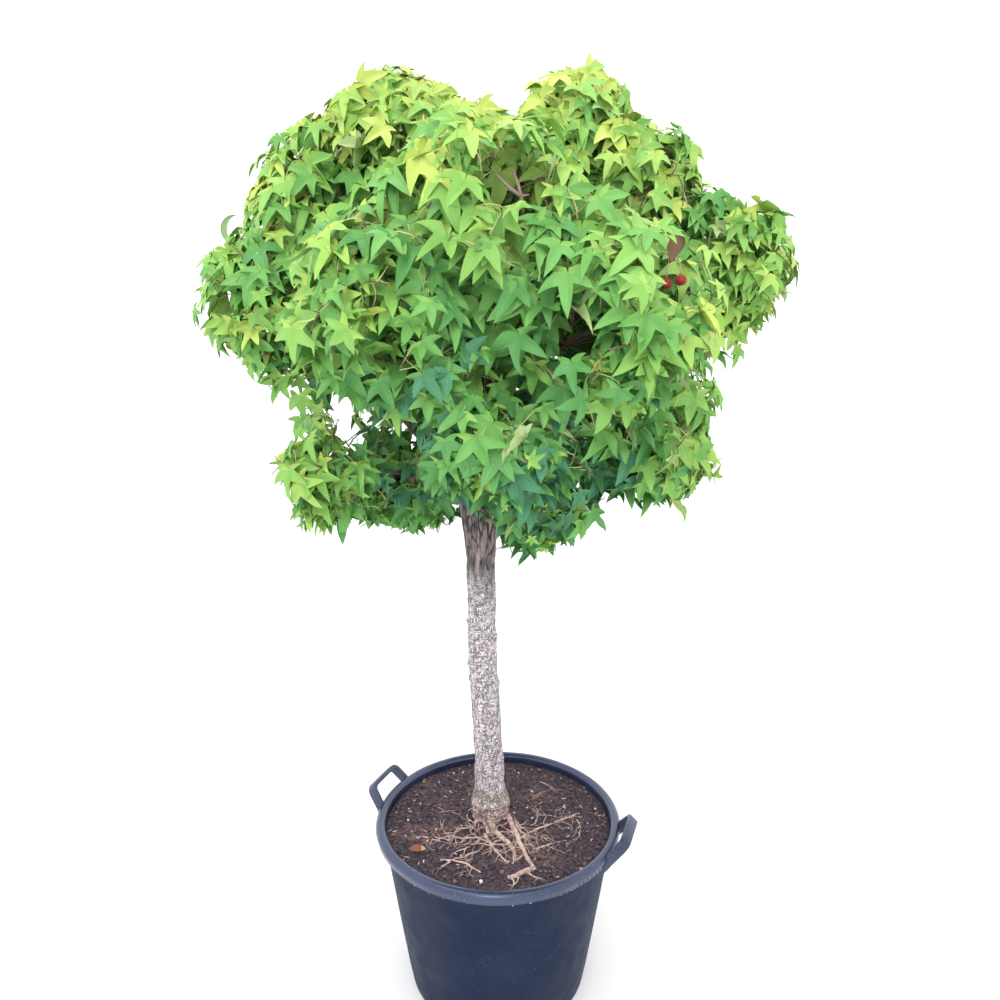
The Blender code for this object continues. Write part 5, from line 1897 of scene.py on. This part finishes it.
    def draw_stalks(self, shape: Shape) -> None:
        """Add each leaf's stalk, an arc from its node that runs on into the blade."""
        for leaf in self.leaves:
            reach = (leaf.middle - leaf.seat).length
            leave = ((leaf.middle - leaf.seat).normalized() + leaf.leave * 0.7 + UP * 0.35).normalized()
            handles = (leaf.seat + leave * reach * 0.4, leaf.middle - leaf.along * reach * 0.32)
            path = [bezier((leaf.seat, leaf.middle), handles, step / 4) for step in range(5)]
            thick = 0.00100 if leaf.size > 0.040 else 0.0006
            warm = leaf.tone in (Tone.BRONZE, Tone.YELLOW) or self.fine_dice.random() < 0.2
            shape.tube(path, [thick * 1.25, thick, thick, thick, thick * 0.8], 3, 1 if warm else 0)


@dataclass
class Crown:
    """Every mass of twigs and leaves."""

    limbs: Limbs
    rule: Growth = field(default_factory=Growth)

    def build(self) -> None:
        """Grow the masses and make their twigs, stalks and leaves, each kind apart."""
        room = self.limbs.room()
        twigs, stalks = Shape(), Shape()
        for number, part in enumerate(CrownPart):
            leaves: list[Leaf] = []
            for name in part.value:
                mass = LeafMass(name, self.limbs.boughs[name], room, self.rule)
                mass.draw_twigs(twigs)
                mass.draw_stalks(stalks)
                leaves += mass.leaves
            piece = LeafPiece(leaves, 40 + number).build("leaves_" + part.name.lower())
            hand_over(piece, ["foliage_" + name for name in part.value])
            log.info("%s: %d leaves", part.name.lower(), len(leaves))
        hand_over(twigs.build("twigs", [TWIG_BROWN, TWIG_GREEN]))
        hand_over(stalks.build("leaf_stalks", [STALK_GREEN, STALK_WARM]))


@dataclass
class Sprigs:
    """Small things that show in the crown: two fruits, a dried leaf, a curled one and a bare fork."""

    fruits: tuple[Colour, ...] = ((0.2505, -0.372, 1.4890), (0.2735, -0.366, 1.4945))
    fruit_radius: float = 0.0075
    spines: int = 46
    fork: tuple[float, float, float] = (0.034, -0.400, 1.560)

    def fruit(self, shape: Shape, place: Vector, dice: random.Random) -> None:
        """One round fruit set with blunt spines."""
        rings = [place + UP * self.fruit_radius * math.cos(math.pi * step / 8) for step in range(9)]
        radii = [max(self.fruit_radius * math.sin(math.pi * step / 8), 0.0004) for step in range(9)]
        shape.tube(rings, radii, 12, 0)
        for direction in spread_directions(self.spines, UP, dice, 2.0):
            root = place + direction * self.fruit_radius * 0.85
            shape.tube([root, place + direction * self.fruit_radius * 1.42], [0.0011, 0.0003], 4, 0)

    def curled_leaf(self) -> bpy.types.Object:
        """A leaf seen on its edge that curls up past the crown's outline."""
        ends = (Vector((-0.5165, 0.0, 1.6024)), Vector((-0.5054, 0.0, 1.6541)))
        handles = (ends[0] + Vector((-0.022, 0.0, 0.010)), ends[1] + Vector((-0.030, 0.0, -0.003)))
        line = [bezier(ends, handles, step / 14) for step in range(15)]
        points = []
        for row, spot in enumerate(line):
            share = row / 14
            run = line[min(row + 1, 14)] - line[max(row - 1, 0)]
            across = Vector((run.z, 0.0, -run.x)).normalized() * 0.0066 * math.sin(math.pi * (0.06 + 0.92 * share))
            points += [spot - across, spot + Vector((0.0, 0.004, 0.0)), spot + across]
        faces = []
        for row in range(14):
            for column in range(2):
                corner = row * 3 + column
                faces.append((corner, corner + 1, corner + 4, corner + 3))
        shape = Shape()
        shape.add(points, faces)
        shape.tube([Vector((-0.488, 0.030, 1.575)), ends[0] + Vector((0.008, 0.006, -0.008)), line[2]], [0.0010] * 3, 4, 0)
        return shape.build("curled_leaf", [PlainFinish("curled_green", (0.230, 0.400, 0.160), 0.5)])

    def build(self) -> None:
        """Make the fruits with their stalks, the curled leaves and the fork."""
        dice = random.Random(77)
        shape = Shape()
        joint = Vector((0.262, -0.330, 1.540))
        for spot in self.fruits:
            place = Vector(spot)
            self.fruit(shape, place, dice)
            top = place + UP * self.fruit_radius
            path = [bezier((joint, top), (joint + Vector((0, -0.03, 0.004)), top + UP * 0.02), step / 8) for step in range(9)]
            shape.tube(path, [0.0010] * 9, 5, 1)
        shape.tube([Vector((0.245, -0.270, 1.530)), joint], [0.0020, 0.0014], 5, 1)
        hand_over(shape.build("fruits", [FRUIT_RED, FRUIT_STALK]))

        curl = Shape()
        rows, columns = 12, 7
        points = []
        for row in range(rows):
            share = row / (rows - 1)
            wide = 0.013 * math.sin(math.pi * min(max(share, 0.05), 0.97))
            spine = joint + Vector((0.004 * math.sin(5 * share), -0.032 - 0.010 * share, 0.030 - 0.050 * share))
            for column in range(columns):
                angle = (column / (columns - 1) - 0.5) * 3.6
                points.append(spine + Vector((wide * math.sin(angle), wide * 0.7 * math.cos(angle), 0.0)))
        faces = []
        for row in range(rows - 1):
            for column in range(columns - 1):
                corner = row * columns + column
                faces.append((corner, corner + 1, corner + columns + 1, corner + columns))
        curl.add(points, faces)
        hand_over(curl.build("dry_leaf", [DRY_LEAF]))
        hand_over(self.curled_leaf())

        fork = Shape()
        foot = Vector(self.fork)
        crotch = foot + Vector((0.000, -0.006, 0.045))
        fork.tube(twig_points(foot + Vector((0.01, 0.09, -0.06)), UP, crotch, 6), [0.0042, 0.0040, 0.0038, 0.0036, 0.0035, 0.0034, 0.0032], 7)
        fork.tube([crotch, crotch + Vector((-0.016, -0.004, 0.010)), crotch + Vector((-0.036, -0.006, 0.028))], [0.0030, 0.0027, 0.0024], 7)
        fork.tube([crotch, crotch + Vector((-0.004, 0.002, 0.016)), crotch + Vector((-0.012, 0.004, 0.036))], [0.0029, 0.0025, 0.0021], 7)
        fork.tube([crotch, crotch + Vector((0.012, 0.0, 0.002))], [0.0020, 0.0008], 5)
        hand_over(fork.build("bare_fork", [PlainFinish("fork_bark", (0.34, 0.26, 0.20), 0.75)]))


@dataclass
class Studio:
    """A pale floor, soft light all round and the camera."""

    floor_radius: float = 9.0
    camera_place: Colour = (0.0044, -1.524, 1.375)
    camera_drop: float = 10.43
    lens: float = 27.0
    world_light: float = 1.45

    def floor(self) -> None:
        """A round pale floor under the tub."""
        shape = Shape()
        ring = [polar(self.floor_radius, math.tau * side / 96, 0.0) for side in range(96)]
        shape.add(ring, [tuple(range(96))])
        shape.build("floor", [FLOOR])

    def lamp(self, name: str, place: Colour, aim: Colour, size: float, power: float) -> None:
        """A soft square lamp.

        Args:
            name: The lamp's name.
            place: Where it hangs.
            aim: What it points at.
            size: Length of its side.
            power: Its power in watts.
        """
        light = bpy.data.lights.new(name, "AREA")
        light.size = size
        light.energy = power
        lamp = bpy.data.objects.new(name, light)
        lamp.location = place
        lamp.rotation_euler = (Vector(aim) - Vector(place)).to_track_quat("-Z", "Y").to_euler()
        bpy.context.scene.collection.objects.link(lamp)

    def build(self) -> None:
        """Set floor, light and camera."""
        scene = bpy.context.scene
        self.floor()
        world = bpy.data.worlds.new("studio")
        world.use_nodes = True
        background = world.node_tree.nodes["Background"]
        background.inputs["Color"].default_value = (1.0, 1.0, 1.0, 1.0)
        background.inputs["Strength"].default_value = self.world_light
        scene.world = world
        self.lamp("sky", (-0.5, -0.8, 4.2), (0.0, 0.0, 1.2), 3.0, 42.0)
        self.lamp("front", (-0.3, -3.2, 2.8), (0.0, 0.0, 1.2), 1.1, 27.0)
        view = bpy.data.cameras.new("camera")
        view.lens = self.lens
        view.sensor_width = 36.0
        view.sensor_height = 36.0
        camera = bpy.data.objects.new("camera", view)
        camera.location = self.camera_place
        camera.rotation_euler = (math.radians(90.0 - self.camera_drop), 0.0, 0.0)
        scene.collection.objects.link(camera)
        scene.camera = camera
        scene.view_settings.view_transform = "Standard"


def main() -> None:
    """Build the tub, the soil, the tree and the studio, in that order."""
    logging.basicConfig(level=logging.INFO, format="%(name)s: %(message)s")
    tub = Tub()
    tub.build()
    soil = SoilBed(tub)
    soil.build()
    trunk = Trunk()
    trunk.build()
    BaredRoots(soil).build()
    limbs = Limbs(trunk)
    limbs.build()
    Crown(limbs).build()
    Sprigs().build()
    Studio().build()


if __name__ == "__main__":
    main()
